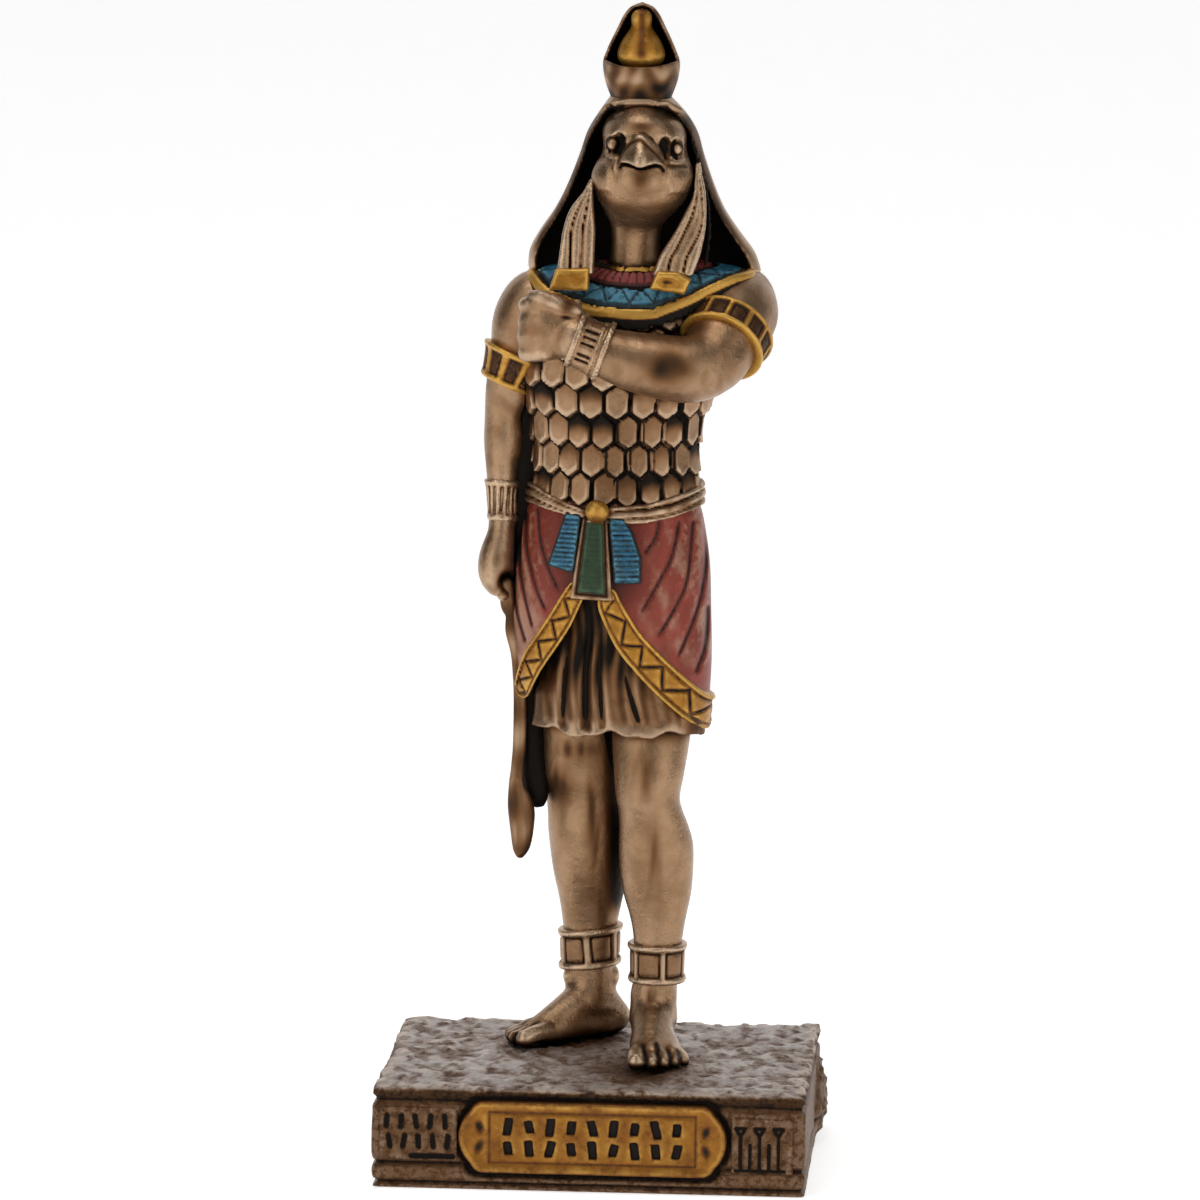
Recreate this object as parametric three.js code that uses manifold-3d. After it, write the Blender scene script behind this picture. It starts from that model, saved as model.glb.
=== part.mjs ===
// A small cold-cast bronze figure of a falcon-headed god, hand painted, standing on its own plinth.
// Millimetres, +Z up. The origin is at the centre of the plinth's underside and the figure faces -Y,
// so +X is the viewer's right.

import * as THREE from "three";
import { mergeVertices } from "three/addons/utils/BufferGeometryUtils.js";
import Module from "manifold-3d";

// Driving dimensions of the plinth.
const PLINTH_WIDTH = 33.3;
const PLINTH_DEPTH = 27;
const PLINTH_HEIGHT = 8;
const GROOVE_DEPTH = 0.35;
const GROOVE_HEIGHT = 0.3;
const FOOT_BAND_HEIGHT = 0.65; // underside to the lowest groove
const FIELD_BOTTOM = 2.1; // underside to the foot of the carved field
const TOP_SLAB_HEIGHT = 1.1; // top of the carved field to the plinth's top
const FIELD_SINK = 0.3;
const PLAQUE_LENGTH = 20.4;
const PLAQUE_HEIGHT = 5.6;
const PLAQUE_RISE = 0.15; // how far the plaque stands out of the plinth's face
const PLAQUE_GAP = 0.45; // width of the recess round the plaque
const PLAQUE_SINK = 0.5;
const PLAQUE_X = 0.3; // the plaque's middle from the plinth's middle
const PLAQUE_DROP = 0.3; // and below the carved field's middle
const STROKE_DEPTH = 0.3;
const STROKE_WIDTH = 0.5;
const STROKE_HEIGHT = 1.2;
const STROKE_PITCH = 1.9;
const STROKES_IN_ROW = 7;
const REED_WIDTH = 0.32;
const REED_PITCH = 0.72;
const REED_COUNT = 5;
const CHIP_SIZE = 0.8;
const CHIP_PITCH = 5.5;
const CHIP_TILT = 0.12;
const CHIP_CLEARANCE = 0.15; // left between a chip in the front edge and the recess below it
const LUMP_SIZE = 2.4; // the rough lump low on the right side, near the back

// Driving dimensions of the figure. Its pose, proportions and carving are shares of its height:
// every station below is in figure units, of which the whole figure is FIGURE_UNITS tall.
const FIGURE_HEIGHT = 82;
const FIGURE_UNITS = 82;
const UNIT = FIGURE_HEIGHT / FIGURE_UNITS;

const BRONZE = new THREE.Color(0x96795c);
const TAU = Math.PI * 2;

const wasm = await Module();
wasm.setup();

// A closed three.js geometry as a solid.
function toSolid(geometry) {
  const bare = new THREE.BufferGeometry();
  bare.setAttribute("position", geometry.getAttribute("position"));
  if (geometry.index) bare.setIndex(geometry.index);
  const merged = mergeVertices(bare, 1e-4);
  const kept = [];
  const index = merged.index.array;
  for (let i = 0; i < index.length; i += 3) {
    const [a, b, c] = [index[i], index[i + 1], index[i + 2]];
    if (a !== b && b !== c && c !== a) kept.push(a, b, c);
  }
  const mesh = new wasm.Mesh({
    numProp: 3,
    vertProperties: new Float32Array(merged.attributes.position.array),
    triVerts: new Uint32Array(kept),
  });
  return new wasm.Manifold(mesh);
}

function toGeometry(solid) {
  const mesh = solid.getMesh();
  const positions = new Float32Array(mesh.numVert * 3);
  for (let i = 0; i < mesh.numVert; i++) {
    const start = i * mesh.numProp;
    positions.set(mesh.vertProperties.subarray(start, start + 3), i * 3);
  }
  const geometry = new THREE.BufferGeometry();
  geometry.setAttribute("position", new THREE.BufferAttribute(positions, 3));
  geometry.setIndex(new THREE.BufferAttribute(new Uint32Array(mesh.triVerts), 1));
  geometry.computeVertexNormals();
  return geometry;
}

function join(solids) {
  return solids.reduce((whole, piece) => whole.add(piece));
}

// Figure units to millimetres in the part's frame: z is measured from the soles.
function spot(x, y, z) {
  return new THREE.Vector3(x * UNIT, y * UNIT, PLINTH_HEIGHT + z * UNIT);
}

// A closed skin through rings of points, with a flat fan at each end.
function loft(rings) {
  const sides = rings[0].length;
  const points = rings.flat();
  const index = [];
  for (let r = 0; r + 1 < rings.length; r++) {
    for (let s = 0; s < sides; s++) {
      const next = (s + 1) % sides;
      const [a, b] = [r * sides + s, r * sides + next];
      const [c, d] = [a + sides, b + sides];
      index.push(a, b, d, a, d, c);
    }
  }
  const lastRing = (rings.length - 1) * sides;
  for (let s = 1; s + 1 < sides; s++) {
    index.push(0, s + 1, s);
    index.push(lastRing, lastRing + s, lastRing + s + 1);
  }
  if (signedVolume(points, index) < 0) turnRound(index);
  const geometry = new THREE.BufferGeometry().setFromPoints(points);
  geometry.setIndex(index);
  return toSolid(geometry);
}

function signedVolume(points, index) {
  let total = 0;
  const crossed = new THREE.Vector3();
  for (let i = 0; i < index.length; i += 3) {
    crossed.crossVectors(points[index[i + 1]], points[index[i + 2]]);
    total += points[index[i]].dot(crossed);
  }
  return total / 6;
}

function turnRound(index) {
  for (let i = 0; i < index.length; i += 3) {
    [index[i + 1], index[i + 2]] = [index[i + 2], index[i + 1]];
  }
}

// Rows of numbers blended smoothly: t runs from 0 at the first row to 1 at the last.
function blendRows(rows, t) {
  const place = t * (rows.length - 1);
  const i = Math.min(Math.floor(place), rows.length - 2);
  const f = place - i;
  const pick = (k) => rows[Math.min(Math.max(k, 0), rows.length - 1)];
  const [p0, p1, p2, p3] = [pick(i - 1), pick(i), pick(i + 1), pick(i + 2)];
  return p1.map((value, c) => {
    const bend = 2 * p0[c] - 5 * value + 4 * p2[c] - p3[c];
    const twist = -p0[c] + 3 * value - 3 * p2[c] + p3[c];
    return value + 0.5 * f * (p2[c] - p0[c] + f * (bend + f * twist));
  });
}

function steps(count) {
  return Array.from({ length: count + 1 }, (_, i) => i / count);
}

// A level ring of a body part whose stations are rows of [height, x, half width, y, half depth].
function levelRing([z, x, halfWidth, y, halfDepth], sides, swell = () => 0) {
  return Array.from({ length: sides }, (_, s) => {
    const angle = (s / sides) * TAU;
    const extra = swell(angle, z, s);
    const px = x + (halfWidth + extra) * Math.cos(angle);
    const py = y + (halfDepth + extra) * Math.sin(angle);
    return spot(px, py, z);
  });
}

function levelLoft(rows, sides, rings, swell) {
  return loft(steps(rings).map((t) => levelRing(blendRows(rows, t), sides, swell)));
}

// A limb whose stations are rows of [x, y, z, radius], with rings square to its path. "depth" is
// how much deeper than wide it is, and "level" is the direction that the depth is measured near.
function makeLimb(rows, level, depth = 1) {
  const centre = (t) => spot(...blendRows(rows, t).slice(0, 3));
  function frame(t) {
    const nearby = 0.02;
    const ahead = centre(Math.min(t + nearby, 1));
    const behind = centre(Math.max(t - nearby, 0));
    const along = ahead.sub(behind).normalize();
    const across = new THREE.Vector3().crossVectors(along, level).normalize();
    const deep = new THREE.Vector3().crossVectors(across, along);
    return { middle: centre(t), across, deep, radius: blendRows(rows, t)[3] * UNIT };
  }
  function ring(t, sides, swell = () => 0) {
    const { middle, across, deep, radius } = frame(t);
    return Array.from({ length: sides }, (_, s) => {
      const angle = (s / sides) * TAU;
      const reach = radius + swell(angle, t, s) * UNIT;
      return middle
        .clone()
        .addScaledVector(across, reach * Math.cos(angle))
        .addScaledVector(deep, reach * depth * Math.sin(angle));
    });
  }
  // Rings at even steps, and six more for each jewelled band, which runs from one share of the
  // limb's length to another.
  function body(sides, rings, bands = []) {
    const clear = (t) => bands.every(([from, to]) => t < from || t > to);
    const stops = steps(rings).filter(clear).map((t) => [t, () => 0]);
    bands.forEach((band) => stops.push(...windowBand(...band)));
    stops.sort(([a], [b]) => a - b);
    return loft(stops.map(([t, swell]) => ring(t, sides, swell)));
  }
  return { body };
}

// The stops of a jewelled band: two rims with a row of recessed windows between them.
const RIM_RISE = 0.42;
const WINDOW_RISE = 0.12;
const RIM_SHARE = 0.22;
const SIDES_PER_WINDOW = 3;

function windowBand(from, to) {
  const cell = (angle, t, s) => (s % SIDES_PER_WINDOW === 0 ? RIM_RISE : WINDOW_RISE);
  const rim = () => RIM_RISE;
  const bare = () => 0;
  const inset = (to - from) * RIM_SHARE;
  const step = (to - from) * 0.03;
  return [
    [from, bare],
    [from + step, rim],
    [from + inset, cell],
    [to - inset, cell],
    [to - step, rim],
    [to, bare],
  ];
}

// An ellipsoid by its centre and half sizes in figure units, turned by Euler angles.
function blob(x, y, z, a, b, c, turn = [0, 0, 0], across = 10, down = 7) {
  const geometry = new THREE.SphereGeometry(1, across, down);
  geometry.scale(a * UNIT, b * UNIT, c * UNIT);
  const matrix = new THREE.Matrix4().makeRotationFromEuler(new THREE.Euler(...turn));
  geometry.applyMatrix4(matrix.setPosition(spot(x, y, z)));
  return toSolid(geometry);
}

// A flat plate: an outline in its own plane, given a thickness along the frame's third axis.
function plate(outline, thickness, matrix) {
  const shape = new THREE.Shape(outline.map(([u, v]) => new THREE.Vector2(u * UNIT, v * UNIT)));
  const options = { depth: thickness * UNIT, bevelEnabled: false, curveSegments: 6 };
  const geometry = new THREE.ExtrudeGeometry(shape, options);
  return toSolid(geometry.applyMatrix4(matrix));
}

// Stations of the body, from the front view of the figure and the depth such castings have.
const TORSO = [
  [40.5, 0.4, 6.5, 4.4, 4.4],
  [43.5, 0.4, 6.5, 4.4, 4.3],
  [46.5, 0.5, 6.65, 4.35, 4.35],
  [49.5, 0.62, 6.95, 4.3, 4.55],
  [52.5, 0.8, 7.45, 4.3, 4.85],
  [55.5, 1.1, 7.9, 4.3, 5.0],
  [58.0, 1.5, 7.3, 4.35, 4.6],
  [60.2, 1.8, 5.7, 4.45, 3.8],
  [62.4, 1.9, 3.0, 4.4, 2.9],
];
const HEAD = [
  [61.0, 1.9, 2.4, 4.2, 2.8],
  [63.0, 1.9, 1.9, 3.7, 2.4],
  [65.0, 1.95, 1.9, 3.0, 2.5],
  [66.4, 2.1, 2.7, 2.4, 3.2],
  [67.7, 2.35, 3.8, 2.3, 3.8],
  [69.2, 2.4, 4.1, 2.4, 4.1],
  [70.8, 2.4, 3.9, 2.7, 4.2],
  [72.2, 2.35, 3.4, 2.8, 4.0],
  [73.4, 2.25, 2.6, 2.9, 3.3],
  [74.2, 2.2, 1.3, 3.0, 1.8],
];
const OVER_KILT = [
  [43.2, 0.3, 6.5, 4.4, 4.4],
  [42.0, 0.3, 6.95, 4.4, 4.8],
  [38.5, 0.15, 7.65, 4.4, 5.5],
  [35.0, 0.1, 7.85, 4.4, 5.8],
  [31.0, 0.3, 7.75, 4.4, 5.9],
  [27.5, 0.5, 7.4, 4.4, 5.8],
  [26.0, 0.6, 7.2, 4.4, 5.7],
];
const UNDER_KILT = [
  [41.0, 0.3, 6.2, 4.4, 4.2],
  [36.0, 0.25, 6.6, 4.4, 4.9],
  [30.0, 0.45, 6.5, 4.4, 5.1],
  [25.2, 0.6, 6.5, 4.4, 5.2],
];
const NEMES = [
  [61.0, 2.4, 9.1, 5.6, 3.4],
  [62.6, 2.2, 8.75, 5.4, 3.9],
  [64.2, 2.05, 7.75, 5.1, 4.3],
  [65.9, 2.05, 6.6, 4.9, 4.5],
  [67.8, 2.1, 5.7, 4.7, 4.6],
  [70.1, 2.15, 4.85, 4.5, 4.6],
  [72.0, 2.1, 4.15, 4.2, 4.4],
  [73.5, 2.05, 3.2, 3.8, 3.7],
  [74.6, 2.05, 2.3, 3.4, 2.8],
];
const FRONT_LEG = [
  [27.0, 3.6, 2.8, 3.4, 2.8],
  [23.5, 3.45, 2.8, 2.1, 2.9],
  [21.0, 3.35, 2.6, 1.6, 2.8],
  [19.0, 3.75, 2.4, 1.9, 2.6],
  [16.5, 4.0, 2.75, 2.5, 2.9],
  [13.5, 4.15, 2.6, 2.8, 2.75],
  [10.8, 4.3, 2.1, 2.6, 2.3],
  [8.6, 4.3, 1.8, 2.4, 2.0],
  [6.0, 4.3, 1.6, 2.3, 1.9],
  [3.6, 4.35, 1.65, 2.3, 2.1],
];
const BACK_LEG = [
  [27.0, -2.4, 3.4, 6.0, 3.2],
  [23.5, -2.2, 3.4, 5.7, 3.0],
  [21.3, -2.05, 3.35, 5.5, 2.8],
  [19.0, -1.75, 3.1, 5.9, 2.6],
  [16.5, -1.55, 3.2, 6.5, 2.9],
  [13.5, -1.4, 3.0, 6.9, 2.75],
  [10.8, -1.4, 2.45, 7.2, 2.3],
  [8.6, -1.45, 2.1, 7.4, 2.0],
  [6.0, -1.35, 1.8, 7.6, 1.9],
  [3.6, -1.3, 1.8, 7.7, 2.0],
];
const HANGING_ARM = [
  [-5.9, 4.4, 60.6, 0.9],
  [-6.1, 4.4, 59.7, 2.3],
  [-6.5, 4.4, 57.3, 2.95],
  [-7.3, 4.4, 54.6, 2.15],
  [-8.2, 4.5, 51.8, 1.62],
  [-8.35, 4.7, 49.5, 1.55],
  [-8.35, 4.7, 47.6, 1.6],
  [-8.45, 4.5, 45.7, 1.32],
  [-8.45, 4.2, 43.5, 1.1],
  [-8.35, 3.9, 41.4, 1.0],
  [-8.5, 3.6, 39.6, 1.15],
  [-8.65, 3.3, 38.2, 1.25],
  [-8.55, 3.1, 36.6, 0.95],
  [-8.5, 3.0, 35.9, 0.5],
];
const RAISED_UPPER_ARM = [
  [10.3, 6.6, 59.6, 0.8],
  [10.1, 5.8, 59.2, 2.2],
  [9.75, 3.9, 58.1, 3.1],
  [9.4, 2.0, 57.1, 3.05],
  [8.9, 0.4, 56.2, 2.9],
  [8.3, -1.1, 55.2, 2.7],
  [7.8, -2.2, 54.4, 2.2],
];
const CROSSING_FOREARM = [
  [9.5, -1.5, 55.3, 1.9],
  [8.2, -2.1, 54.7, 2.4],
  [5.8, -3.1, 54.05, 2.4],
  [3.5, -3.4, 54.35, 2.3],
  [1.2, -3.7, 55.15, 2.0],
  [-0.9, -3.9, 56.0, 1.7],
  [-2.6, -3.7, 56.8, 1.7],
  [-4.2, -3.2, 57.4, 2.4],
  [-5.7, -2.6, 57.6, 2.5],
  [-6.6, -2.1, 57.7, 1.2],
];

// The angle on an ellipse at a share of its way round, so that what repeats is evenly spaced.
function evenAngle(share, halfWidth, halfDepth) {
  const PARTS = 72;
  const reach = [0];
  for (let i = 0; i < PARTS; i++) {
    const middle = ((i + 0.5) / PARTS) * TAU;
    const step = Math.hypot(halfWidth * Math.sin(middle), halfDepth * Math.cos(middle));
    reach.push(reach[i] + step);
  }
  const wanted = (share - Math.floor(share)) * reach[PARTS];
  const i = reach.findIndex((value) => value > wanted) - 1;
  return ((i + (wanted - reach[i]) / (reach[i + 1] - reach[i])) / PARTS) * TAU;
}

// The blended station at a height, for stations whose heights run one way.
function rowAtHeight(rows, z) {
  const HALVINGS = 30;
  const rising = rows.at(-1)[0] > rows[0][0];
  let [low, high] = [0, 1];
  for (let i = 0; i < HALVINGS; i++) {
    const middle = (low + high) / 2;
    const below = blendRows(rows, middle)[0] < z;
    if (below === rising) low = middle;
    else high = middle;
  }
  return blendRows(rows, low);
}

// The corselet: staggered rows of six-sided scales, each a raised plate inside its own cell of a
// honeycomb that wraps the body, with a sunk seam all round it.
const SCALE_ROWS = 6;
const SCALES_ROUND = 17;
const SCALE_PITCH = 2.2;
const SCALE_TIP = 0.42;
const SCALE_RISE = 0.22;
const SEAM_SINK = 0.12;
const PLATE_WIDTH_SHARE = 0.8;
const PLATE_HEIGHT_SHARE = 0.8;
const CORSELET_END_REACH = 1.8; // how far the plain ends run on under the sash and the collar
const CORSELET_END_INSET = -1.2;

function corselet() {
  // The scales begin at the sash's upper edge.
  const firstHeight = SASH_BAND[SASH_BAND.length - 1][0];
  const columns = 2 * SCALES_ROUND;
  const points = [];
  const index = [];
  function skinPoint(column, z, rise) {
    const [, x, halfWidth, y, halfDepth] = rowAtHeight(TORSO, z);
    const angle = evenAngle(column / columns, halfWidth, halfDepth);
    const px = x + (halfWidth + rise) * Math.cos(angle);
    const py = y + (halfDepth + rise) * Math.sin(angle);
    return spot(px, py, z);
  }
  function addPoint(point) {
    points.push(point);
    return points.length - 1;
  }
  function addRing(height, rise) {
    return Array.from({ length: columns }, (_, column) =>
      addPoint(skinPoint(column, height(column), rise)),
    );
  }
  function bridge(lower, upper) {
    for (let column = 0; column < columns; column++) {
      const next = (column + 1) % columns;
      index.push(lower[column], lower[next], upper[next], lower[column], upper[next], upper[column]);
    }
  }
  const seamHeight = (row, column) => {
    const tip = (column + row) % 2 === 0 ? -SCALE_TIP : SCALE_TIP;
    return firstHeight + row * SCALE_PITCH + tip;
  };
  const seams = Array.from({ length: SCALE_ROWS + 1 }, (_, row) =>
    addRing((column) => seamHeight(row, column), -SEAM_SINK),
  );
  function addScale(row, column) {
    const [left, right] = [(column + columns - 1) % columns, (column + 1) % columns];
    const corners = [
      seams[row][column],
      seams[row][right],
      seams[row + 1][right],
      seams[row + 1][column],
      seams[row + 1][left],
      seams[row][left],
    ];
    const [bottom, lowerRight, upperRight, top, upperLeft, lowerLeft] = corners;
    const middle = firstHeight + (row + 0.5) * SCALE_PITCH;
    const plateCorner = (aside, side) => {
      const z = middle + side * SCALE_PITCH * 0.5 * PLATE_HEIGHT_SHARE;
      return addPoint(skinPoint(column + aside * PLATE_WIDTH_SHARE, z, SCALE_RISE));
    };
    const [a, b, c, d] = [
      plateCorner(1, -1),
      plateCorner(1, 1),
      plateCorner(-1, 1),
      plateCorner(-1, -1),
    ];
    index.push(d, a, b, d, b, c);
    index.push(bottom, a, d, bottom, lowerRight, a, bottom, d, lowerLeft);
    index.push(lowerRight, upperRight, b, lowerRight, b, a);
    index.push(top, c, b, top, b, upperRight, top, upperLeft, c);
    index.push(upperLeft, lowerLeft, d, upperLeft, d, c);
  }
  for (let row = 0; row < SCALE_ROWS; row++) {
    for (let column = row % 2; column < columns; column += 2) addScale(row, column);
  }
  const low = addRing(() => firstHeight - CORSELET_END_REACH, CORSELET_END_INSET);
  const topHeight = firstHeight + SCALE_ROWS * SCALE_PITCH + CORSELET_END_REACH;
  const top = addRing(() => topHeight, CORSELET_END_INSET);
  bridge(low, seams[0]);
  bridge(seams[SCALE_ROWS], top);
  for (let column = 1; column + 1 < columns; column++) {
    index.push(low[0], low[column + 1], low[column]);
    index.push(top[0], top[column], top[column + 1]);
  }
  const geometry = new THREE.BufferGeometry().setFromPoints(points);
  geometry.setIndex(index);
  return [toSolid(geometry)];
}

// The broad collar: rings that run from the neck out over the shoulders, stepped at each band.
const COLLAR_BANDS = [
  [0.0, 0.3],
  [0.14, 0.3],
  [0.16, 0.12],
  [0.44, 0.12],
  [0.78, 0.24],
  [0.81, 0.42],
  [1.0, 0.42],
];

function collarPoint(share, angle, rise) {
  const lift = Math.abs(Math.cos(angle));
  const x = 2.1 + (2.7 + 5.6 * share + rise) * Math.cos(angle);
  const y = 4.1 + (3.3 + 2.2 * share + rise) * Math.sin(angle);
  const edge = 58.3 + 2.9 * lift * lift;
  const z = 62.3 + (edge - 62.3) * share ** 1.15 + rise * 0.6;
  return spot(x, y, z);
}

function collar() {
  const SIDES = 18;
  const ring = (share, rise) =>
    Array.from({ length: SIDES }, (_, s) => collarPoint(share, (s / SIDES) * TAU, rise));
  const under = Array.from({ length: SIDES }, (_, s) => {
    const angle = (s / SIDES) * TAU;
    return spot(2.1 + 4.4 * Math.cos(angle), 4.2 + 3.0 * Math.sin(angle), 57.6);
  });
  return loft([...COLLAR_BANDS.map(([share, rise]) => ring(share, rise)), under]);
}

// The falcon's head: a round skull on a thick neck, the hooked beak, the lower bill and a brow
// ridge over each eye.
const BEAK = [
  [72.4, 2.3, 0.9, 0.2, 1.0],
  [71.4, 2.35, 1.5, -0.7, 1.1],
  [70.3, 2.38, 1.95, -1.2, 1.3],
  [69.6, 2.4, 1.5, -1.7, 1.1],
  [69.2, 2.4, 0.35, -2.45, 0.35],
];
const FACE_X = 2.4;

function head() {
  const skull = levelLoft(HEAD, 12, 8);
  const beak = loft(BEAK.map((row) => levelRing(row, 8)));
  const lowerBill = blob(FACE_X, -0.6, 68.0, 1.9, 1.3, 1.35, [0, 0, 0], 7, 5);
  const brows = [-1, 1].map((side) =>
    blob(FACE_X + side * 2.2, -0.35, 72.05, 1.4, 0.9, 0.5, [0, -side * 0.1, side * 0.5], 7, 4),
  );
  return [skull, beak, lowerBill, ...brows];
}

// The royal headcloth: a hood that flares to the shoulders, hollowed in front so that it leaves a
// thin rim, with a striped lappet hanging on each side of the neck.
const HOOD_RIM = 0.6;
const HOOD_LINING = 0.4;
const HOLLOW_FORWARD = 3.6;
const HOLLOW_BELOW = [56.0, 2.4, 8.6, 2.0, 3.4];

function headcloth() {
  const outer = levelLoft(NEMES, 18, 7);
  const hollow = NEMES.map(([z, x, halfWidth, y, halfDepth]) => [
    z - HOOD_LINING,
    x,
    halfWidth - HOOD_RIM,
    y - HOLLOW_FORWARD,
    halfDepth,
  ]);
  return [outer.subtract(levelLoft([HOLLOW_BELOW, ...hollow], 12, 7))];
}

const LEFT_LAPPET = [
  [69.0, -1.3, 0.5, 1.7, 0.7],
  [67.5, -1.5, 0.8, 0.9, 0.8],
  [65.0, -2.0, 1.15, 0.1, 0.85],
  [61.8, -2.6, 1.3, -0.8, 0.9],
];
const RIGHT_LAPPET = [
  [69.0, 6.1, 0.5, 1.7, 0.7],
  [67.5, 6.2, 0.9, 0.9, 0.8],
  [65.0, 5.9, 1.35, 0.1, 0.85],
  [61.8, 4.9, 1.6, -0.8, 0.9],
];

const LAPPET_PLEATS = 4;
const LAPPET_GROOVE = 0.14;

function lappet(rows) {
  const groove = (angle) => (Math.cos(angle * LAPPET_PLEATS * 2) < 0 ? -LAPPET_GROOVE : 0);
  const cloth = levelLoft(rows, 12, 3, groove);
  const [z, x, halfWidth, y, halfDepth] = rows.at(-1);
  const endBand = loft([
    levelRing([z + 0.1, x - 0.1, halfWidth + 0.25, y - 0.1, halfDepth + 0.15], 8),
    levelRing([z - 1.9, x - 0.3, halfWidth + 0.3, y - 0.5, halfDepth + 0.2], 8),
  ]);
  return [cloth, endBand];
}

// The double crown: a bowl whose back rises to a point, open in front, with the bulb inside it.
const CROWN_X = 2.1;
const CROWN_Y = 3.2;
const CROWN_OUTSIDE = [
  [0, 73.2],
  [2.2, 73.4],
  [2.45, 74.7],
  [2.88, 76.3],
  [2.95, 77.6],
  [2.45, 78.8],
  [1.75, 80.2],
  [1.35, 81.1],
  [0.9, 81.8],
  [0, FIGURE_UNITS],
];
const CROWN_HOLLOW = [
  [0, 76.9],
  [2.55, 76.95],
  [2.4, 77.9],
  [1.55, 79.7],
  [0.95, 81.1],
  [0, 81.5],
];
const HOLLOW_STRETCH = 1.5;
const CROWN_BULB = [
  [0, 76.6],
  [1.3, 76.9],
  [1.75, 77.6],
  [1.6, 78.4],
  [1.1, 79.4],
  [0.72, 80.1],
  [0.8, 80.8],
  [0.5, 81.35],
  [0, 81.5],
];

// A form turned on an upright axis, drawn out along Y by a share.
function turned(profile, x, y, segments, stretch = 1) {
  const points = profile.map(([radius, z]) => new THREE.Vector2(radius * UNIT, z * UNIT));
  const geometry = new THREE.LatheGeometry(points, segments);
  geometry.rotateX(Math.PI / 2);
  geometry.scale(1, stretch, 1);
  const place = spot(x, y, 0);
  geometry.translate(place.x, place.y, place.z);
  const index = Array.from(geometry.index.array);
  const position = geometry.getAttribute("position");
  const corners = Array.from({ length: position.count }, (_, i) =>
    new THREE.Vector3().fromBufferAttribute(position, i),
  );
  if (signedVolume(corners, index) < 0) {
    turnRound(index);
    geometry.setIndex(index);
  }
  return toSolid(geometry);
}

function crown() {
  const shell = turned(CROWN_OUTSIDE, CROWN_X, CROWN_Y, 12);
  const opening = turned(CROWN_HOLLOW, CROWN_X, CROWN_Y - 1.3, 10, HOLLOW_STRETCH);
  const bulb = turned(CROWN_BULB, CROWN_X + 0.1, CROWN_Y - 0.5, 8);
  return [shell.subtract(opening), bulb];
}

// The sash: a band round the waist and two strands that sag to a boss over the apron.
const SASH_BAND = [
  [42.6, 0.4, 6.7, 4.4, 4.55],
  [44.0, 0.4, 6.85, 4.4, 4.7],
  [45.4, 0.4, 6.6, 4.4, 4.45],
];
const SASH_STRANDS = [
  [
    [-6.2, 3.4, 44.9, 0.6],
    [-5.4, 1.3, 44.3, 0.62],
    [-3.6, -0.3, 43.4, 0.6],
    [-0.9, -0.9, 42.6, 0.55],
  ],
  [
    [6.9, 3.4, 44.9, 0.6],
    [6.0, 1.3, 44.3, 0.62],
    [3.2, -0.5, 43.3, 0.6],
    [-0.6, -0.9, 42.6, 0.55],
  ],
];

function sash() {
  const upright = new THREE.Vector3(0, 0, 1);
  const strands = SASH_STRANDS.map((rows) => makeLimb(rows, upright).body(5, 4));
  const boss = blob(-0.75, -1.35, 42.7, 0.95, 0.75, 0.95);
  return [levelLoft(SASH_BAND, 14, 2), ...strands, boss];
}

// The apron's three pendants: flat tongues hung from the boss, each on the kilt's front.
const PENDANTS = [
  { top: [-2.65, 42.6], bottom: [-3.7, 38.3], topWidth: 1.3, bottomWidth: 1.8, front: -1.25 },
  { top: [0.9, 42.4], bottom: [1.9, 37.6], topWidth: 1.4, bottomWidth: 2.0, front: -1.25 },
  { top: [-0.95, 42.5], bottom: [-0.97, 36.2], topWidth: 1.6, bottomWidth: 3.4, front: -1.65 },
];

const PENDANT_DEPTH = 1.5;

function pendant({ top, bottom, topWidth, bottomWidth, front }) {
  const outline = [
    [top[0] - topWidth / 2, top[1]],
    [bottom[0] - bottomWidth / 2, bottom[1]],
    [bottom[0] + bottomWidth / 2, bottom[1]],
    [top[0] + topWidth / 2, top[1]],
  ];
  return frontPlate(outline, front, PENDANT_DEPTH);
}

// A plate that faces the viewer: its outline is in x and z, and its face is at y = front.
function frontPlate(outline, front, thickness) {
  const matrix = new THREE.Matrix4().makeBasis(
    new THREE.Vector3(1, 0, 0),
    new THREE.Vector3(0, 0, 1),
    new THREE.Vector3(0, -1, 0),
  );
  matrix.setPosition(spot(0, front + thickness, 0));
  return plate(outline, thickness, matrix);
}

// The over-kilt is open below the apron: its front edges run down and out to the sides.
const KILT_EDGES = [
  { inner: [-2.5, 36.0], outer: [-6.9, 28.7], width: 1.3 },
  { inner: [0.7, 36.0], outer: [8.0, 27.7], width: 1.9 },
];

const PLEAT_DEPTH = 0.16;
const FOLD_DEPTH = 0.3;
const OPENING_SPREAD = 3;
const OPENING_DROP = 4;

function kilt() {
  const pleats = (angle, z) => {
    const sweep = angle * 18 + (40 - z) * 0.35 * Math.sign(Math.cos(angle));
    return Math.cos(sweep) < -0.3 ? -PLEAT_DEPTH : 0;
  };
  const folds = (angle, z) => FOLD_DEPTH * Math.cos(angle * 20) * Math.min(1, (41 - z) / 8);
  const [left, right] = KILT_EDGES;
  const outline = [
    left.inner,
    [left.outer[0] - OPENING_SPREAD, left.outer[1] - OPENING_DROP],
    [right.outer[0] + OPENING_SPREAD, right.outer[1] - OPENING_DROP],
    right.inner,
  ];
  const opening = frontPlate(outline, -4, 8.4);
  const over = levelLoft(OVER_KILT, 36, 5, pleats).subtract(opening);
  return [over, levelLoft(UNDER_KILT, 40, 3, folds), ...KILT_EDGES.map(kiltBorder)];
}

// A flat border that follows the kilt's edge round the front of the body.
const BORDER_RISE = 0.3;
const BORDER_ROOT = 1;

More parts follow.
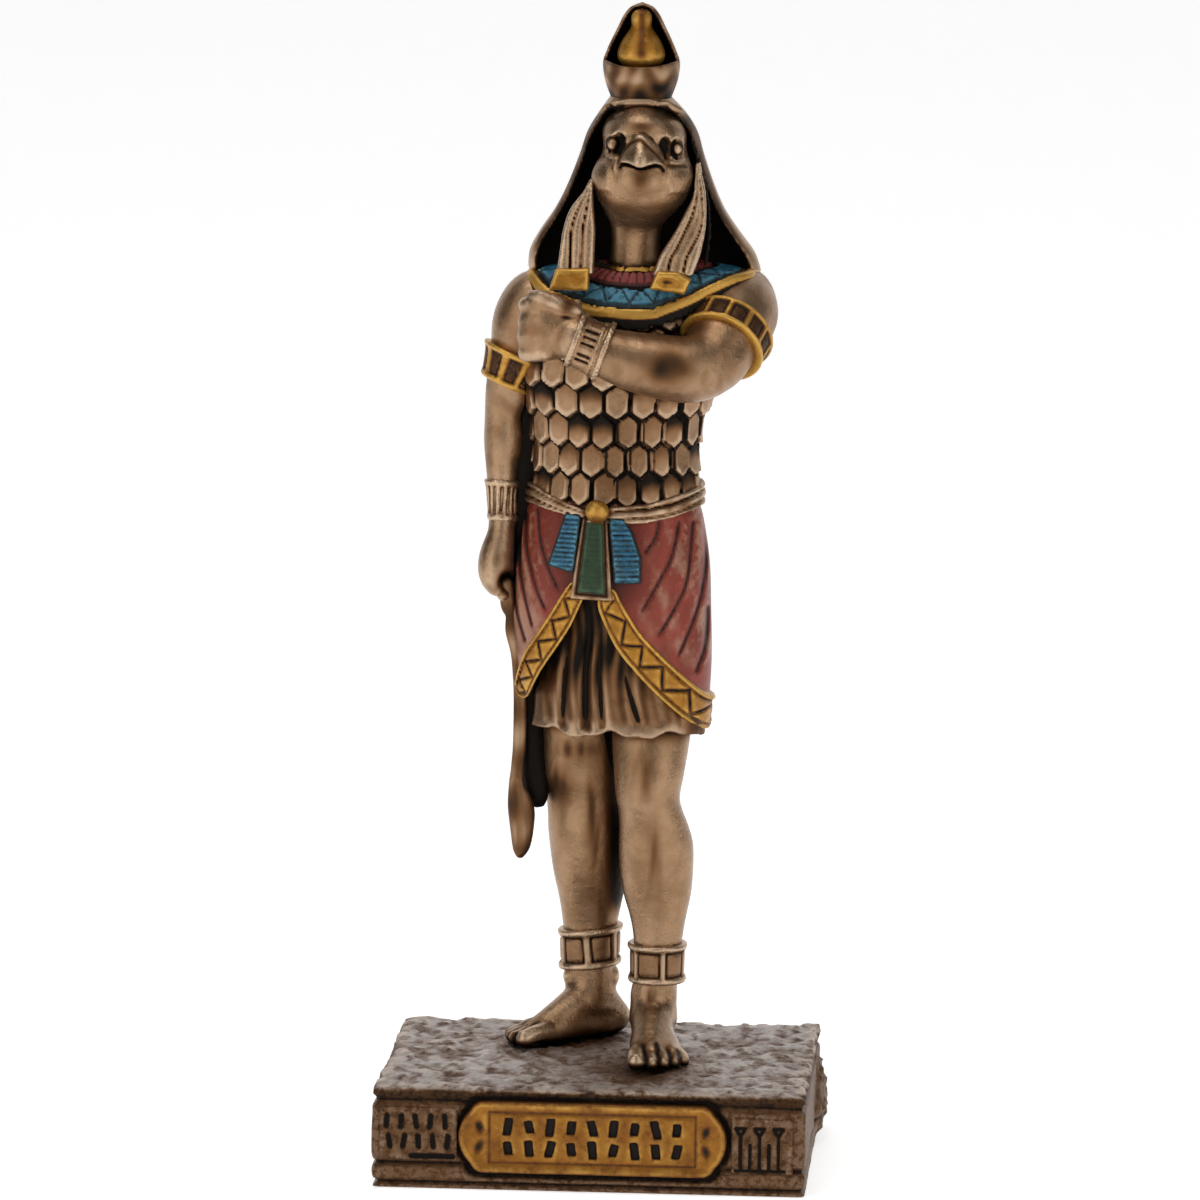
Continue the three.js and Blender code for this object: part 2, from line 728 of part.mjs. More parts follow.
function kiltBorder({ inner, outer, width }) {
  const rings = steps(6).map((t) => {
    const x = inner[0] + (outer[0] - inner[0]) * t;
    const z = inner[1] + (outer[1] - inner[1]) * t ** 0.9;
    const [, middle, halfWidth, y, halfDepth] = rowAtHeight(OVER_KILT, z);
    const share = Math.min(Math.abs(x - middle) / halfWidth, 0.97);
    const front = y - halfDepth * Math.sqrt(1 - share * share);
    const corner = (up, deep) => spot(x, front + deep, z + up);
    return [
      corner(-width / 2, -BORDER_RISE),
      corner(width / 2, -BORDER_RISE),
      corner(width / 2, BORDER_ROOT),
      corner(-width / 2, BORDER_ROOT),
    ];
  });
  return loft(rings);
}

// A foot: rings across its length from heel to toe tips, as [along, half width, height], with the
// toes parted by narrow cuts. The toe line slants back from the big toe.
const FOOT = [
  [-3.2, 1.0, 1.6],
  [-2.4, 1.5, 3.0],
  [-0.6, 1.65, 4.6],
  [1.4, 1.7, 4.2],
  [3.6, 2.0, 2.6],
  [5.4, 2.35, 1.8],
  [6.6, 2.3, 1.35],
  [7.1, 2.0, 0.8],
];
const TOE_CUTS = [-0.95, -0.1, 0.65, 1.35];
const TOE_CUT_WIDTH = 0.28;
const TOE_CUT_BACK = 5.2;
const TOE_CUT_FRONT = 7.9;
const TOE_CUT_TOP = 2.2;
const TOE_ROOT = 4.5;
const TOE_SLANT = 0.28;

function foot(x, y, heading, bigToeSide) {
  const forward = new THREE.Vector3(Math.sin(heading), -Math.cos(heading), 0);
  const aside = new THREE.Vector3(Math.cos(heading), Math.sin(heading), 0);
  const place = (along, across, z) => {
    const slant = along > TOE_ROOT ? across * bigToeSide * TOE_SLANT : 0;
    return spot(x, y, z)
      .addScaledVector(forward, (along + slant) * UNIT)
      .addScaledVector(aside, across * UNIT);
  };
  const SIDES = 8;
  const rings = FOOT.map(([along, halfWidth, height]) =>
    Array.from({ length: SIDES + 1 }, (_, s) => {
      const angle = (s / SIDES) * Math.PI;
      return place(along, halfWidth * Math.cos(angle), height * Math.sin(angle) ** 0.8);
    }),
  );
  const cuts = TOE_CUTS.map((across) => {
    const middle = across * bigToeSide;
    const wedge = (along, floor) => [
      place(along, middle - TOE_CUT_WIDTH / 2, TOE_CUT_TOP),
      place(along, middle + TOE_CUT_WIDTH / 2, TOE_CUT_TOP),
      place(along, middle, floor),
    ];
    return loft([wedge(TOE_CUT_BACK, TOE_CUT_TOP / 2), wedge(TOE_CUT_FRONT, -0.3)]);
  });
  return loft(rings).subtract(join(cuts));
}

// An anklet: two rims with a row of recessed windows between them.
function anklet([, x, halfWidth, y, halfDepth], low, high, tilt) {
  const SIDES = 12;
  const ring = (z, rise) =>
    Array.from({ length: SIDES }, (_, s) => {
      const angle = (s / SIDES) * TAU;
      const px = x + (halfWidth + rise(s)) * Math.cos(angle);
      const py = y + (halfDepth + rise(s)) * Math.sin(angle);
      return spot(px, py, z + tilt * Math.cos(angle));
    });
  const cell = (s) => (s % SIDES_PER_WINDOW === 0 ? RIM_RISE : WINDOW_RISE);
  const rim = () => RIM_RISE;
  const inside = () => -RIM_RISE;
  const inset = (high - low) * RIM_SHARE;
  return loft([
    ring(low, inside),
    ring(low, rim),
    ring(low + inset, cell),
    ring(high - inset, cell),
    ring(high, rim),
    ring(high, inside),
  ]);
}

function legs() {
  return [
    levelLoft(FRONT_LEG, 10, 9),
    levelLoft(BACK_LEG, 10, 9),
    anklet([0, 4.27, 1.8, 2.35, 2.1], 5.6, 8.7, 0),
    anklet([0, -1.42, 2.1, 7.45, 2.1], 5.6, 8.8, 0.15),
    foot(4.35, 1.2, 0.06, 1),
    foot(-1.3, 7.3, -0.9, -1),
  ];
}

// The thumb and the knuckles of the fist that is laid on the right breast.
function restingFist() {
  const knuckles = [0, 1, 2].map((i) =>
    blob(-6.1, -2.6, 59.0 - i * 1.5, 0.8, 1.3, 0.9, [0, 0.2, 0], 6, 4),
  );
  const thumb = blob(-4.3, -3.7, 59.6, 2.0, 0.9, 0.7, [0, 0.35, 0], 7, 5);
  return [...knuckles, thumb];
}

// The fingers of the hand that hangs, closed round the sword's grip.
function grippingFingers() {
  return [0, 1, 2, 3].map((i) =>
    blob(-8.6 + i * 0.08, 2.1, 39.4 - i * 0.95, 1.2, 1.15, 0.65, [0, 0, 0], 6, 4),
  );
}

// The sickle sword: a shaft down the side of the kilt that ends in a narrow blade, and the thin
// web that ties it to the leg.
const SWORD = [
  [-8.1, 37.0, 0.6],
  [-8.0, 35.0, 0.6],
  [-7.6, 32.0, 0.55],
  [-7.15, 28.0, 0.6],
  [-7.0, 24.0, 0.6],
  [-7.0, 21.6, 0.62],
  [-6.75, 19.4, 0.95],
  [-6.75, 17.2, 1.0],
  [-6.6, 15.6, 0.75],
  [-6.5, 14.9, 0.2],
];

const SWORD_Y = 2.9;
const SWORD_HALF_THICKNESS = 0.6;

function sword() {
  const rings = steps(9).map((t) => {
    const [x, z, half] = blendRows(SWORD, t);
    return [
      spot(x - half, SWORD_Y, z),
      spot(x, SWORD_Y - SWORD_HALF_THICKNESS, z),
      spot(x + half, SWORD_Y, z),
      spot(x, SWORD_Y + SWORD_HALF_THICKNESS, z),
    ];
  });
  const pommel = blob(-8.2, 2.3, 35.6, 0.6, 0.9, 0.6, [0, 0, 0], 6, 4);
  const web = loft([
    [spot(-7.0, 2.9, 26.0), spot(-4.0, 3.3, 26.0), spot(-4.0, 4.1, 26.0), spot(-7.0, 3.5, 26.0)],
    [spot(-6.9, 2.9, 19.5), spot(-4.4, 4.8, 17.5), spot(-4.4, 5.4, 17.5), spot(-6.9, 3.5, 19.5)],
  ]);
  return [loft(rings), pommel, web];
}

// The web of the casting that closes the space between the hanging arm and the body.
const ARM_WEB = [
  [57.6, -6.6, -5.0],
  [52.0, -7.6, -5.0],
  [46.0, -8.3, -5.0],
  [40.0, -8.3, -5.6],
  [36.6, -8.2, -6.2],
];

function armWeb() {
  const [front, back] = [3.9, 5.3];
  return loft(
    ARM_WEB.map(([z, armX, bodyX]) => [
      spot(armX, front, z),
      spot(bodyX, front, z),
      spot(bodyX, back, z),
      spot(armX, back, z),
    ]),
  );
}

// The muscle inside the raised shoulder, where arm, chest and collar meet.
function shoulderCore() {
  return blob(7.2, 2.0, 56.3, 1.9, 2.2, 3.6, [0, 0, 0], 8, 6);
}

function arms() {
  const hanging = makeLimb(HANGING_ARM, new THREE.Vector3(0, 1, 0), 1.15);
  const raised = makeLimb(RAISED_UPPER_ARM, new THREE.Vector3(0, 0, 1));
  const crossing = makeLimb(CROSSING_FOREARM, new THREE.Vector3(0, 0, 1));
  return [
    hanging.body(12, 11, [[0.25, 0.36], [0.6, 0.71]]),
    raised.body(12, 5, [[0.52, 0.67]]),
    crossing.body(12, 8, [[0.48, 0.63]]),
    ...restingFist(),
    ...grippingFingers(),
    armWeb(),
    shoulderCore(),
  ];
}

function falconFigure() {
  return join([
    ...corselet(),
    ...sash(),
    ...kilt(),
    ...PENDANTS.map(pendant),
    ...legs(),
    ...arms(),
    ...sword(),
    collar(),
    ...head(),
    ...headcloth(),
    ...lappet(LEFT_LAPPET),
    ...lappet(RIGHT_LAPPET),
    ...crown(),
  ]);
}

function boxSolid(width, depth, height, x, y, z) {
  const geometry = new THREE.BoxGeometry(width, depth, height);
  geometry.translate(x, y, z);
  return toSolid(geometry);
}

const FIELD_TOP = PLINTH_HEIGHT - TOP_SLAB_HEIGHT;
const FIELD_MIDDLE = (FIELD_BOTTOM + FIELD_TOP) / 2;
const FRONT = -PLINTH_DEPTH / 2;
const PLAQUE_MIDDLE = FIELD_MIDDLE - PLAQUE_DROP;
const RECESS_TOP = PLAQUE_MIDDLE + PLAQUE_HEIGHT / 2 + PLAQUE_GAP;

// A groove cut into all four sides at a height.
function sideGroove(z) {
  const reach = 1;
  const slab = boxSolid(PLINTH_WIDTH + reach, PLINTH_DEPTH + reach, GROOVE_HEIGHT, 0, 0, z);
  const coreWidth = PLINTH_WIDTH - 2 * GROOVE_DEPTH;
  const coreDepth = PLINTH_DEPTH - 2 * GROOVE_DEPTH;
  return slab.subtract(boxSolid(coreWidth, coreDepth, GROOVE_HEIGHT + reach, 0, 0, z));
}

// A long plate with cut corners, set in the plinth's front.
function plaqueSolid(length, height, from, to) {
  const cut = height * 0.3;
  const [x, z] = [length / 2, height / 2];
  const shape = new THREE.Shape([
    new THREE.Vector2(-x + cut * 1.6, -z),
    new THREE.Vector2(x - cut * 1.6, -z),
    new THREE.Vector2(x - cut * 0.4, -z + cut * 0.7),
    new THREE.Vector2(x, 0),
    new THREE.Vector2(x - cut * 0.4, z - cut * 0.7),
    new THREE.Vector2(x - cut * 1.6, z),
    new THREE.Vector2(-x + cut * 1.6, z),
    new THREE.Vector2(-x + cut * 0.4, z - cut * 0.7),
    new THREE.Vector2(-x, 0),
    new THREE.Vector2(-x + cut * 0.4, -z + cut * 0.7),
  ]);
  const geometry = new THREE.ExtrudeGeometry(shape, { depth: from - to, bevelEnabled: false });
  geometry.rotateX(Math.PI / 2);
  geometry.translate(PLAQUE_X, FRONT + from, PLAQUE_MIDDLE);
  return toSolid(geometry);
}

// Two rows of shallow upright strokes in the middle of the plaque.
function plaqueStrokes() {
  const cuts = [];
  for (const side of [-1, 1]) {
    for (let i = 0; i < STROKES_IN_ROW; i++) {
      const x = PLAQUE_X + (i - (STROKES_IN_ROW - 1) / 2) * STROKE_PITCH;
      const z = PLAQUE_MIDDLE + side * STROKE_HEIGHT * 0.66;
      cuts.push(boxSolid(STROKE_WIDTH, STROKE_DEPTH * 2, STROKE_HEIGHT, x, FRONT - PLAQUE_RISE, z));
    }
  }
  return cuts;
}

// A sunk field at each end of the front, left bare for its marks.
function endField(side) {
  const inner = PLAQUE_LENGTH / 2 + PLAQUE_GAP + 0.4;
  const outer = PLINTH_WIDTH / 2 - 0.7;
  const middle = (inner + outer) / 2;
  const height = FIELD_TOP - FIELD_BOTTOM - 0.8;
  const x = side * middle + PLAQUE_X / 2;
  return boxSolid(outer - inner, FIELD_SINK * 2, height, x, FRONT, FIELD_MIDDLE);
}

// Papyrus stems in the right-hand field, tall and short by turns, on a ground line.
function papyrusRow() {
  const x = (PLAQUE_LENGTH / 2 + PLAQUE_GAP + PLINTH_WIDTH / 2) / 2;
  const stems = [];
  for (let i = 0; i < REED_COUNT; i++) {
    const height = i % 2 === 0 ? 2.9 : 2.2;
    const at = x + (i - (REED_COUNT - 1) / 2) * REED_PITCH;
    const foot = FIELD_BOTTOM + 0.8;
    stems.push(boxSolid(REED_WIDTH, FIELD_SINK * 2, height, at, FRONT + FIELD_SINK, foot + height / 2));
  }
  const length = REED_PITCH * (REED_COUNT + 0.5);
  stems.push(boxSolid(length, FIELD_SINK * 2, 0.3, x, FRONT + FIELD_SINK, FIELD_BOTTOM + 0.75));
  return stems;
}

// Upright marks in the left-hand field, of several heights, over a ground line.
function fieldMarks() {
  const x = -(PLAQUE_LENGTH / 2 + PLAQUE_GAP + PLINTH_WIDTH / 2) / 2 + 0.2;
  const marks = [];
  for (let i = 0; i < 4; i++) {
    const height = 1.3 + 0.8 * Math.abs(Math.sin(i * 2 + 1));
    const at = x + (i - 1.5) * 1.05;
    const z = FIELD_BOTTOM + 1.1 + height / 2;
    marks.push(boxSolid(REED_WIDTH, FIELD_SINK * 2, height, at, FRONT + FIELD_SINK, z));
  }
  marks.push(boxSolid(4.2, FIELD_SINK * 2, 0.3, x, FRONT + FIELD_SINK, FIELD_BOTTOM + 0.75));
  return marks;
}

// Chips broken out of the top edges: small tilted blocks, cut at uneven places. Those in front are
// shallower, because the plaque's recess lies close below that edge.
function chips() {
  const cuts = [];
  const turn = new THREE.Matrix4();
  function addChips(length, largest, tilt, place) {
    const count = Math.floor(length / CHIP_PITCH);
    for (let i = 0; i < count; i++) {
      const wander = Math.sin(i * 12.9 + length);
      const size = largest * (0.75 + 0.25 * Math.sin(i * 5.3 + length));
      const geometry = new THREE.BoxGeometry(CHIP_PITCH * 0.9, size, size);
      turn.makeRotationFromEuler(new THREE.Euler(Math.PI / 4 + 0.2 * wander, tilt * wander, 0.2 * wander));
      geometry.applyMatrix4(turn);
      place(geometry, (i + 0.5 + 0.2 * wander) * (length / count) - length / 2);
      cuts.push(toSolid(geometry));
    }
  }
  const frontSize = (PLINTH_HEIGHT - RECESS_TOP - CHIP_CLEARANCE) * Math.SQRT2;
  addChips(PLINTH_WIDTH, frontSize, 0, (geometry, at) => {
    geometry.translate(at, FRONT, PLINTH_HEIGHT);
  });
  addChips(PLINTH_WIDTH, CHIP_SIZE, CHIP_TILT, (geometry, at) => {
    geometry.translate(at, -FRONT, PLINTH_HEIGHT);
  });
  for (const side of [-1, 1]) {
    addChips(PLINTH_DEPTH, CHIP_SIZE, CHIP_TILT, (geometry, at) => {
      geometry.rotateZ(Math.PI / 2);
      geometry.translate((side * PLINTH_WIDTH) / 2, at, PLINTH_HEIGHT);
    });
  }
  return cuts;
}

function lump() {
  const geometry = new THREE.IcosahedronGeometry(LUMP_SIZE, 0);
  geometry.scale(0.55, 1.3, 1);
  const y = PLINTH_DEPTH / 2 - LUMP_SIZE * 1.5;
  geometry.translate(PLINTH_WIDTH / 2 - 0.3, y, PLINTH_HEIGHT * 0.42);
  return toSolid(geometry);
}

// The plinth: a rough block with grooves round it, a plaque and carved fields in front, chipped top
// edges, and a lump of rough stone on its right side.
function plinth() {
  const block = boxSolid(PLINTH_WIDTH, PLINTH_DEPTH, PLINTH_HEIGHT, 0, 0, PLINTH_HEIGHT / 2);
  const grooves = [FOOT_BAND_HEIGHT, FIELD_BOTTOM, FIELD_TOP].map(sideGroove);
  const around = plaqueSolid(
    PLAQUE_LENGTH + 2 * PLAQUE_GAP,
    PLAQUE_HEIGHT + 2 * PLAQUE_GAP,
    PLAQUE_SINK,
    -1,
  );
  const fields = [-1, 1].map(endField);
  const cut = block.subtract(join([...grooves, around, ...fields, ...chips()]));
  const plaque = plaqueSolid(PLAQUE_LENGTH, PLAQUE_HEIGHT, PLAQUE_SINK + 1, -PLAQUE_RISE);
  const carved = plaque.subtract(join(plaqueStrokes()));
  return join([cut, carved, ...papyrusRow(), ...fieldMarks(), lump()]);
}

function pieceMesh(name, solid) {
  const material = new THREE.MeshStandardMaterial({
    color: BRONZE,
    roughness: 0.42,
    metalness: 0.75,
  });
  const mesh = new THREE.Mesh(toGeometry(solid), material);
  mesh.name = name;
  return mesh;
}

const model = new THREE.Group();
model.add(pieceMesh("plinth", plinth()));
model.add(pieceMesh("falcon_figure", falconFigure()));

export default model;
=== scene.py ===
"""A small painted cold-cast bronze of a striding falcon-headed god on its plinth.

Every piece is sculpted as a block of clay: a grid of distances to its surface, in millimetres, that
simple forms are added to and cut from. The skin of each block becomes a mesh. The figure's soles
are at z = 0 in the clay, x is the viewer's right and the figure faces -y.

Four weights on each vertex drive the finish: how the skin bends, how full the space around it is,
near and wide, where dark wash was brushed on and shade was painted ("wash_and_shade"), and where
paint is rubbed off and highlights were painted ("bare_and_sheen").
"""

import math

import bpy
import numpy as np
from mathutils import Euler, Matrix, Vector


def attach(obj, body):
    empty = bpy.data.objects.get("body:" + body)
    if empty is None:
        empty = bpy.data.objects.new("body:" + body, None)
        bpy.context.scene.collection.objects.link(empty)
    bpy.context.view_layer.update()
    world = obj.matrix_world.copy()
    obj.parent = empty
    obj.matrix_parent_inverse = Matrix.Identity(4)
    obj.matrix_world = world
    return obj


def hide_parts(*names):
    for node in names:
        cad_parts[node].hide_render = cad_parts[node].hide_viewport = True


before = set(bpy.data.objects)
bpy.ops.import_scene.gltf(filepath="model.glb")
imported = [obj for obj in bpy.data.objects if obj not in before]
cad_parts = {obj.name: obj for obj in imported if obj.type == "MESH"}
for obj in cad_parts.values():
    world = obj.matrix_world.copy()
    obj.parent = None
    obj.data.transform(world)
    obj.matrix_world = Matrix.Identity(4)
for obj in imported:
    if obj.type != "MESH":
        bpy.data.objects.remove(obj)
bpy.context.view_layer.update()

MM = 0.001
SOLE_HEIGHT = 8.0  # the soles above the plinth's underside
TAU = 2 * math.pi

FAR = 3.0  # the distance in clay that nothing was added to
REACH = 0.8  # how far past a form's own box its distances are worked out
PATH_PARTS = 5  # the straight parts of a path between two of its points
FAR_INSIDE = -9.0  # farther inside a plate than any plate here reaches
FAR_OFF = 99.0  # farther from a curve than any point here
LEAST_STEEP = 1e-4  # these two keep divisors above 0
LEAST_LENGTH = 1e-8


# The sculpting kit.

def smooth_min(a, b, soft):
    if soft <= 0:
        return np.minimum(a, b)
    mix = np.clip(0.5 + 0.5 * (b - a) / soft, 0, 1)
    return b + (a - b) * mix - soft * mix * (1 - mix)


def smooth_max(a, b, soft):
    return -smooth_min(-a, -b, soft)


def smooth_step(value, low, high):
    t = np.clip((value - low) / (high - low), 0, 1)
    return t * t * (3 - 2 * t)


def hump(distance, width):
    """1 at distance 0, falling off smoothly within about twice the width."""
    return np.exp(-((distance / width) ** 2))


def teeth(value):
    """A saw wave: 1 at whole numbers and 0 halfway between them."""
    return np.abs(np.mod(value, 1) - 0.5) * 2


def zigzag(value, swing):
    """A saw wave, 2 from peak to peak, that swings evenly to both sides of 0."""
    return np.abs(np.mod(value, 2) - 1) * swing - swing / 2


def most(first, *others):
    """The largest of several values at each point."""
    for other in others:
        first = np.maximum(first, other)
    return first


def smooth_rows(rows, parts=6):
    """Rows of numbers with more rows between them, along a smooth curve."""
    rows = np.array(rows, np.float32)
    padded = np.vstack([rows[:1], rows, rows[-1:]])
    made = []
    for p0, p1, p2, p3 in zip(padded, padded[1:], padded[2:], padded[3:]):
        for t in np.arange(parts) / parts:
            bend = 2 * p0 - 5 * p1 + 4 * p2 - p3
            twist = -p0 + 3 * p1 - 3 * p2 + p3
            made.append(p1 + 0.5 * t * (p2 - p0 + t * (bend + t * twist)))
    made.append(rows[-1])
    return np.array(made, np.float32)


class Form:
    """A shape: its box and a function that gives the distance to its surface, negative inside."""

    def __init__(self, low, high, distance):
        self.low = low
        self.high = high
        self.distance = distance


class Clay:
    """A block of clay: the distance to its surface at each point of a grid, negative inside."""

    def __init__(self, low, high, cell):
        self.cell = cell
        counts = [int(math.ceil((b - a) / cell)) + 1 for a, b in zip(low, high)]
        self.axes = [
            (a + cell * np.arange(count)).astype(np.float32) for a, count in zip(low, counts)
        ]
        self.field = np.full(counts, FAR, np.float32)

    def window(self, low, high):
        spans = []
        for axis, a, b in zip(self.axes, low, high):
            start, stop = np.searchsorted(axis, (a - REACH, b + REACH))
            spans.append(slice(int(start), int(stop)))
        x, y, z = (axis[span] for axis, span in zip(self.axes, spans))
        return tuple(spans), x[:, None, None], y[None, :, None], z[None, None, :]

    def add(self, form, soft=0.0):
        spans, x, y, z = self.window(form.low, form.high)
        self.field[spans] = smooth_min(self.field[spans], form.distance(x, y, z), soft)

    def cut(self, form, soft=0.0):
        spans, x, y, z = self.window(form.low, form.high)
        self.field[spans] = -smooth_min(-self.field[spans], form.distance(x, y, z), soft)

    def raise_skin(self, low, high, relief):
        """Moves the skin outward by relief(x, y, z) inside a box."""
        spans, x, y, z = self.window(low, high)
        self.field[spans] -= relief(x, y, z).astype(np.float32)


def ellipse_distance(offsets, radii):
    """About the distance from an ellipse or an ellipsoid, for offsets from its centre."""
    near = np.sqrt(sum((d / r) ** 2 for d, r in zip(offsets, radii)))
    steep = np.sqrt(sum((d / (r * r)) ** 2 for d, r in zip(offsets, radii)))
    return near * (near - 1) / np.maximum(steep, LEAST_STEEP)


def box_around(centre, rooms):
    """The low and high corners of a box with room to each side of its centre."""
    low = [c - room for c, room in zip(centre, rooms)]
    high = [c + room for c, room in zip(centre, rooms)]
    return low, high


def box_over(corners, front, back, margin=0.0):
    """The low and high corners of a box over corners in the front plane."""
    line = np.array(corners)
    low, high = line.min(0) - margin, line.max(0) + margin
    return (low[0], front, low[1]), (high[0], back, high[1])


def stack(rows, relief=None):
    """A form through level ellipses, as rows of [height, x, half width, y, half depth].

    Its skin is raised by relief(angle, z), if that is given.
    """
    table = smooth_rows(sorted(rows))
    heights = table[:, 0]
    low = (min(table[:, 1] - table[:, 2]), min(table[:, 3] - table[:, 4]), heights[0])
    high = (max(table[:, 1] + table[:, 2]), max(table[:, 3] + table[:, 4]), heights[-1])

    def distance(x, y, z):
        cx, a, cy, b = (np.interp(z, heights, table[:, i]).astype(np.float32) for i in (1, 2, 3, 4))
        dx, dy = x - cx, y - cy
        found = ellipse_distance((dx, dy), (a, b))
        if relief is not None:
            found = found - relief(np.arctan2(dy / b, dx / a), z)
        return most(found, heights[0] - z, z - heights[-1])

    return Form(low, high, distance)


def limb(rows, squash=(1, 1, 1)):
    """A rod along a smooth path, as rows of [x, y, z, radius], widened along an axis by its squash."""
    scale = np.array([*squash, 1], np.float32)
    table = smooth_rows(rows, PATH_PARTS) / scale
    swell = table[:, 3:4] * scale[:3]
    low = (table[:, :3] * scale[:3] - swell).min(0)
    high = (table[:, :3] * scale[:3] + swell).max(0)

    def distance(x, y, z):
        lines = [line.ravel() / s for line, s in zip((x, y, z), squash)]
        whole = np.full([len(line) for line in lines], FAR, np.float32)
        for start, end in zip(table, table[1:]):
            room = max(start[3], end[3]) + REACH
            spans = []
            for i, line in enumerate(lines):
                a, b = min(start[i], end[i]) - room, max(start[i], end[i]) + room
                spans.append(slice(*np.searchsorted(line, (a, b))))
            px, py, pz = (line[span] - start[i] for i, (line, span) in enumerate(zip(lines, spans)))
            px, py, pz = px[:, None, None], py[None, :, None], pz[None, None, :]
            along = end[:3] - start[:3]
            t = (px * along[0] + py * along[1] + pz * along[2]) / max(float(along @ along), LEAST_LENGTH)
            t = np.clip(t, 0, 1)
            gap = np.sqrt(
                (px - t * along[0]) ** 2 + (py - t * along[1]) ** 2 + (pz - t * along[2]) ** 2)
            found = gap - (start[3] + t * (end[3] - start[3]))
            whole[tuple(spans)] = np.minimum(whole[tuple(spans)], found)
        return whole

    return Form(low, high, distance)


def turned_axes(turn, x, y, z):
    """Coordinates in a frame turned by Euler angles in degrees."""
    matrix = np.array(Euler([math.radians(a) for a in turn]).to_matrix(), np.float32)
    return [x * matrix[0][i] + y * matrix[1][i] + z * matrix[2][i] for i in range(3)]


def ball(centre, radii, turn=(0, 0, 0)):
    """An ellipsoid, turned by Euler angles in degrees."""
    def distance(x, y, z):
        local = turned_axes(turn, x - centre[0], y - centre[1], z - centre[2])
        return ellipse_distance(local, radii)

    return Form(*box_around(centre, [max(radii)] * 3), distance)


def block(centre, halves, turn=(0, 0, 0), rounding=0.1):
    """A block with rounded edges, turned by Euler angles in degrees."""
    def distance(x, y, z):
        local = turned_axes(turn, x - centre[0], y - centre[1], z - centre[2])
        over = [np.abs(line) - h + rounding for line, h in zip(local, halves)]
        outside = np.sqrt(sum(np.maximum(o, 0) ** 2 for o in over))
        return outside + np.minimum(most(*over), 0) - rounding

    rooms = [math.hypot(*halves)] * 3 if any(turn) else halves
    return Form(*box_around(centre, rooms), distance)


def turned(profile, centre):
    """A form turned on an upright axis, as rows of [height, radius]."""
    table = smooth_rows(profile)
    widest = table[:, 1].max()
    low = (centre[0] - widest, centre[1] - widest, table[0, 0])
    high = (centre[0] + widest, centre[1] + widest, table[-1, 0])

    def distance(x, y, z):
        radius = np.interp(z, table[:, 0], table[:, 1]).astype(np.float32)
        reach = np.sqrt((x - centre[0]) ** 2 + (y - centre[1]) ** 2)
        return most(reach - radius, table[0, 0] - z, z - table[-1, 0])

    return Form(low, high, distance)


def plate_edge(x, z, corners):
    """The distance in the front plane from a straight-sided plate, its corners clockwise."""
    edge = FAR_INSIDE
    line = np.array(corners)
    for start, end in zip(line, np.roll(line, -1, axis=0)):
        along = (end - start) / np.hypot(*(end - start))
        edge = np.maximum(edge, (z - start[1]) * along[0] - (x - start[0]) * along[1])
    return edge


def prism(corners, front, back, rounding):
    """A straight-sided plate in the front plane, from a front to a back."""
    def distance(x, y, z):
        return smooth_max(plate_edge(x, z, corners), np.maximum(front - y, y - back), rounding)

    return Form(*box_over(corners, front, back), distance)


def strands(rows, depth):
    """Locks side by side, as rows of [height, front, edge, edge, edge, ...] from left to right."""
    table = smooth_rows(sorted(rows))
    heights, fronts, edges = table[:, 0], table[:, 1], table[:, 2:]
    low = (edges.min(), fronts.min(), heights[0])
    high = (edges.max(), fronts.max() + 2 * depth, heights[-1])

    def distance(x, y, z):
        columns = table[:, 1:].T
        front, *lines = (np.interp(z, heights, column).astype(np.float32) for column in columns)
        whole = FAR
        for left, right in zip(lines, lines[1:]):
            half = np.maximum((right - left) / 2, 0.12)
            dx = x - (left + right) / 2
            hairs = sum(hump(dx / half - place, 0.2) for place in (-0.45, 0.05, 0.5))
            lock = ellipse_distance((dx, y - front - depth), (half, depth)) + 0.045 * hairs
            lock = smooth_max(lock, front + 0.22 - y, 0.2)
            whole = np.minimum(whole, lock)
        return most(whole, heights[0] - z, z - heights[-1])

    return Form(low, high, distance)


def gap_to_curve(x, z, points):
    """The distance in the front plane to a smooth curve, the place along it, 0 to 1, and the side."""
    table = smooth_rows(points, PATH_PARTS)
    best = np.full(np.broadcast_shapes(x.shape, z.shape), FAR_OFF, np.float32)
    place = np.zeros_like(best)
    side = np.zeros_like(best)
    for i, (start, end) in enumerate(zip(table, table[1:])):
        along = end - start
        px, pz = x - start[0], z - start[1]
        length = max(float(along @ along), LEAST_LENGTH)
        t = np.clip((px * along[0] + pz * along[1]) / length, 0, 1)
        gap = np.hypot(px - t * along[0], pz - t * along[1])
        nearer = gap < best
        best = np.where(nearer, gap, best)
        place = np.where(nearer, (i + t) / (len(table) - 1), place)
        side = np.where(nearer, np.sign(px * along[1] - pz * along[0]), side)
    return best, place, side


def grain(x, y, z, size, seed):
    """Smooth random bumps between -1 and 1, of a size."""
    rng = np.random.default_rng(seed)
    places = [(line.ravel() - line.min()) / size for line in (x, y, z)]
    field = rng.uniform(-1, 1, [int(place.max()) + 2 for place in places]).astype(np.float32)
    for axis, place in enumerate(places):
        cell = place.astype(int)
        t = place - cell
        t = (t * t * (3 - 2 * t)).reshape([-1 if i == axis else 1 for i in range(3)])
        lower = np.take(field, cell, axis)
        field = lower + (np.take(field, cell + 1, axis) - lower) * t.astype(np.float32)
    return field


def rough(x, y, z, size, seed):
    return grain(x, y, z, size, seed) + 0.5 * grain(x, y, z, size / 2.1, seed + 1)


def uneven(x, y, z, size):
    """Brushed unevenness between -1 and 1 at any points."""
    k = TAU / size
    first = np.sin(k * (x + 0.31 * z) + 1.3 * np.sin(0.7 * k * y))
    return first * np.sin(k * (0.8 * z - 0.4 * x) + 1.1 * np.sin(0.6 * k * (x + y)))


# From clay to mesh.

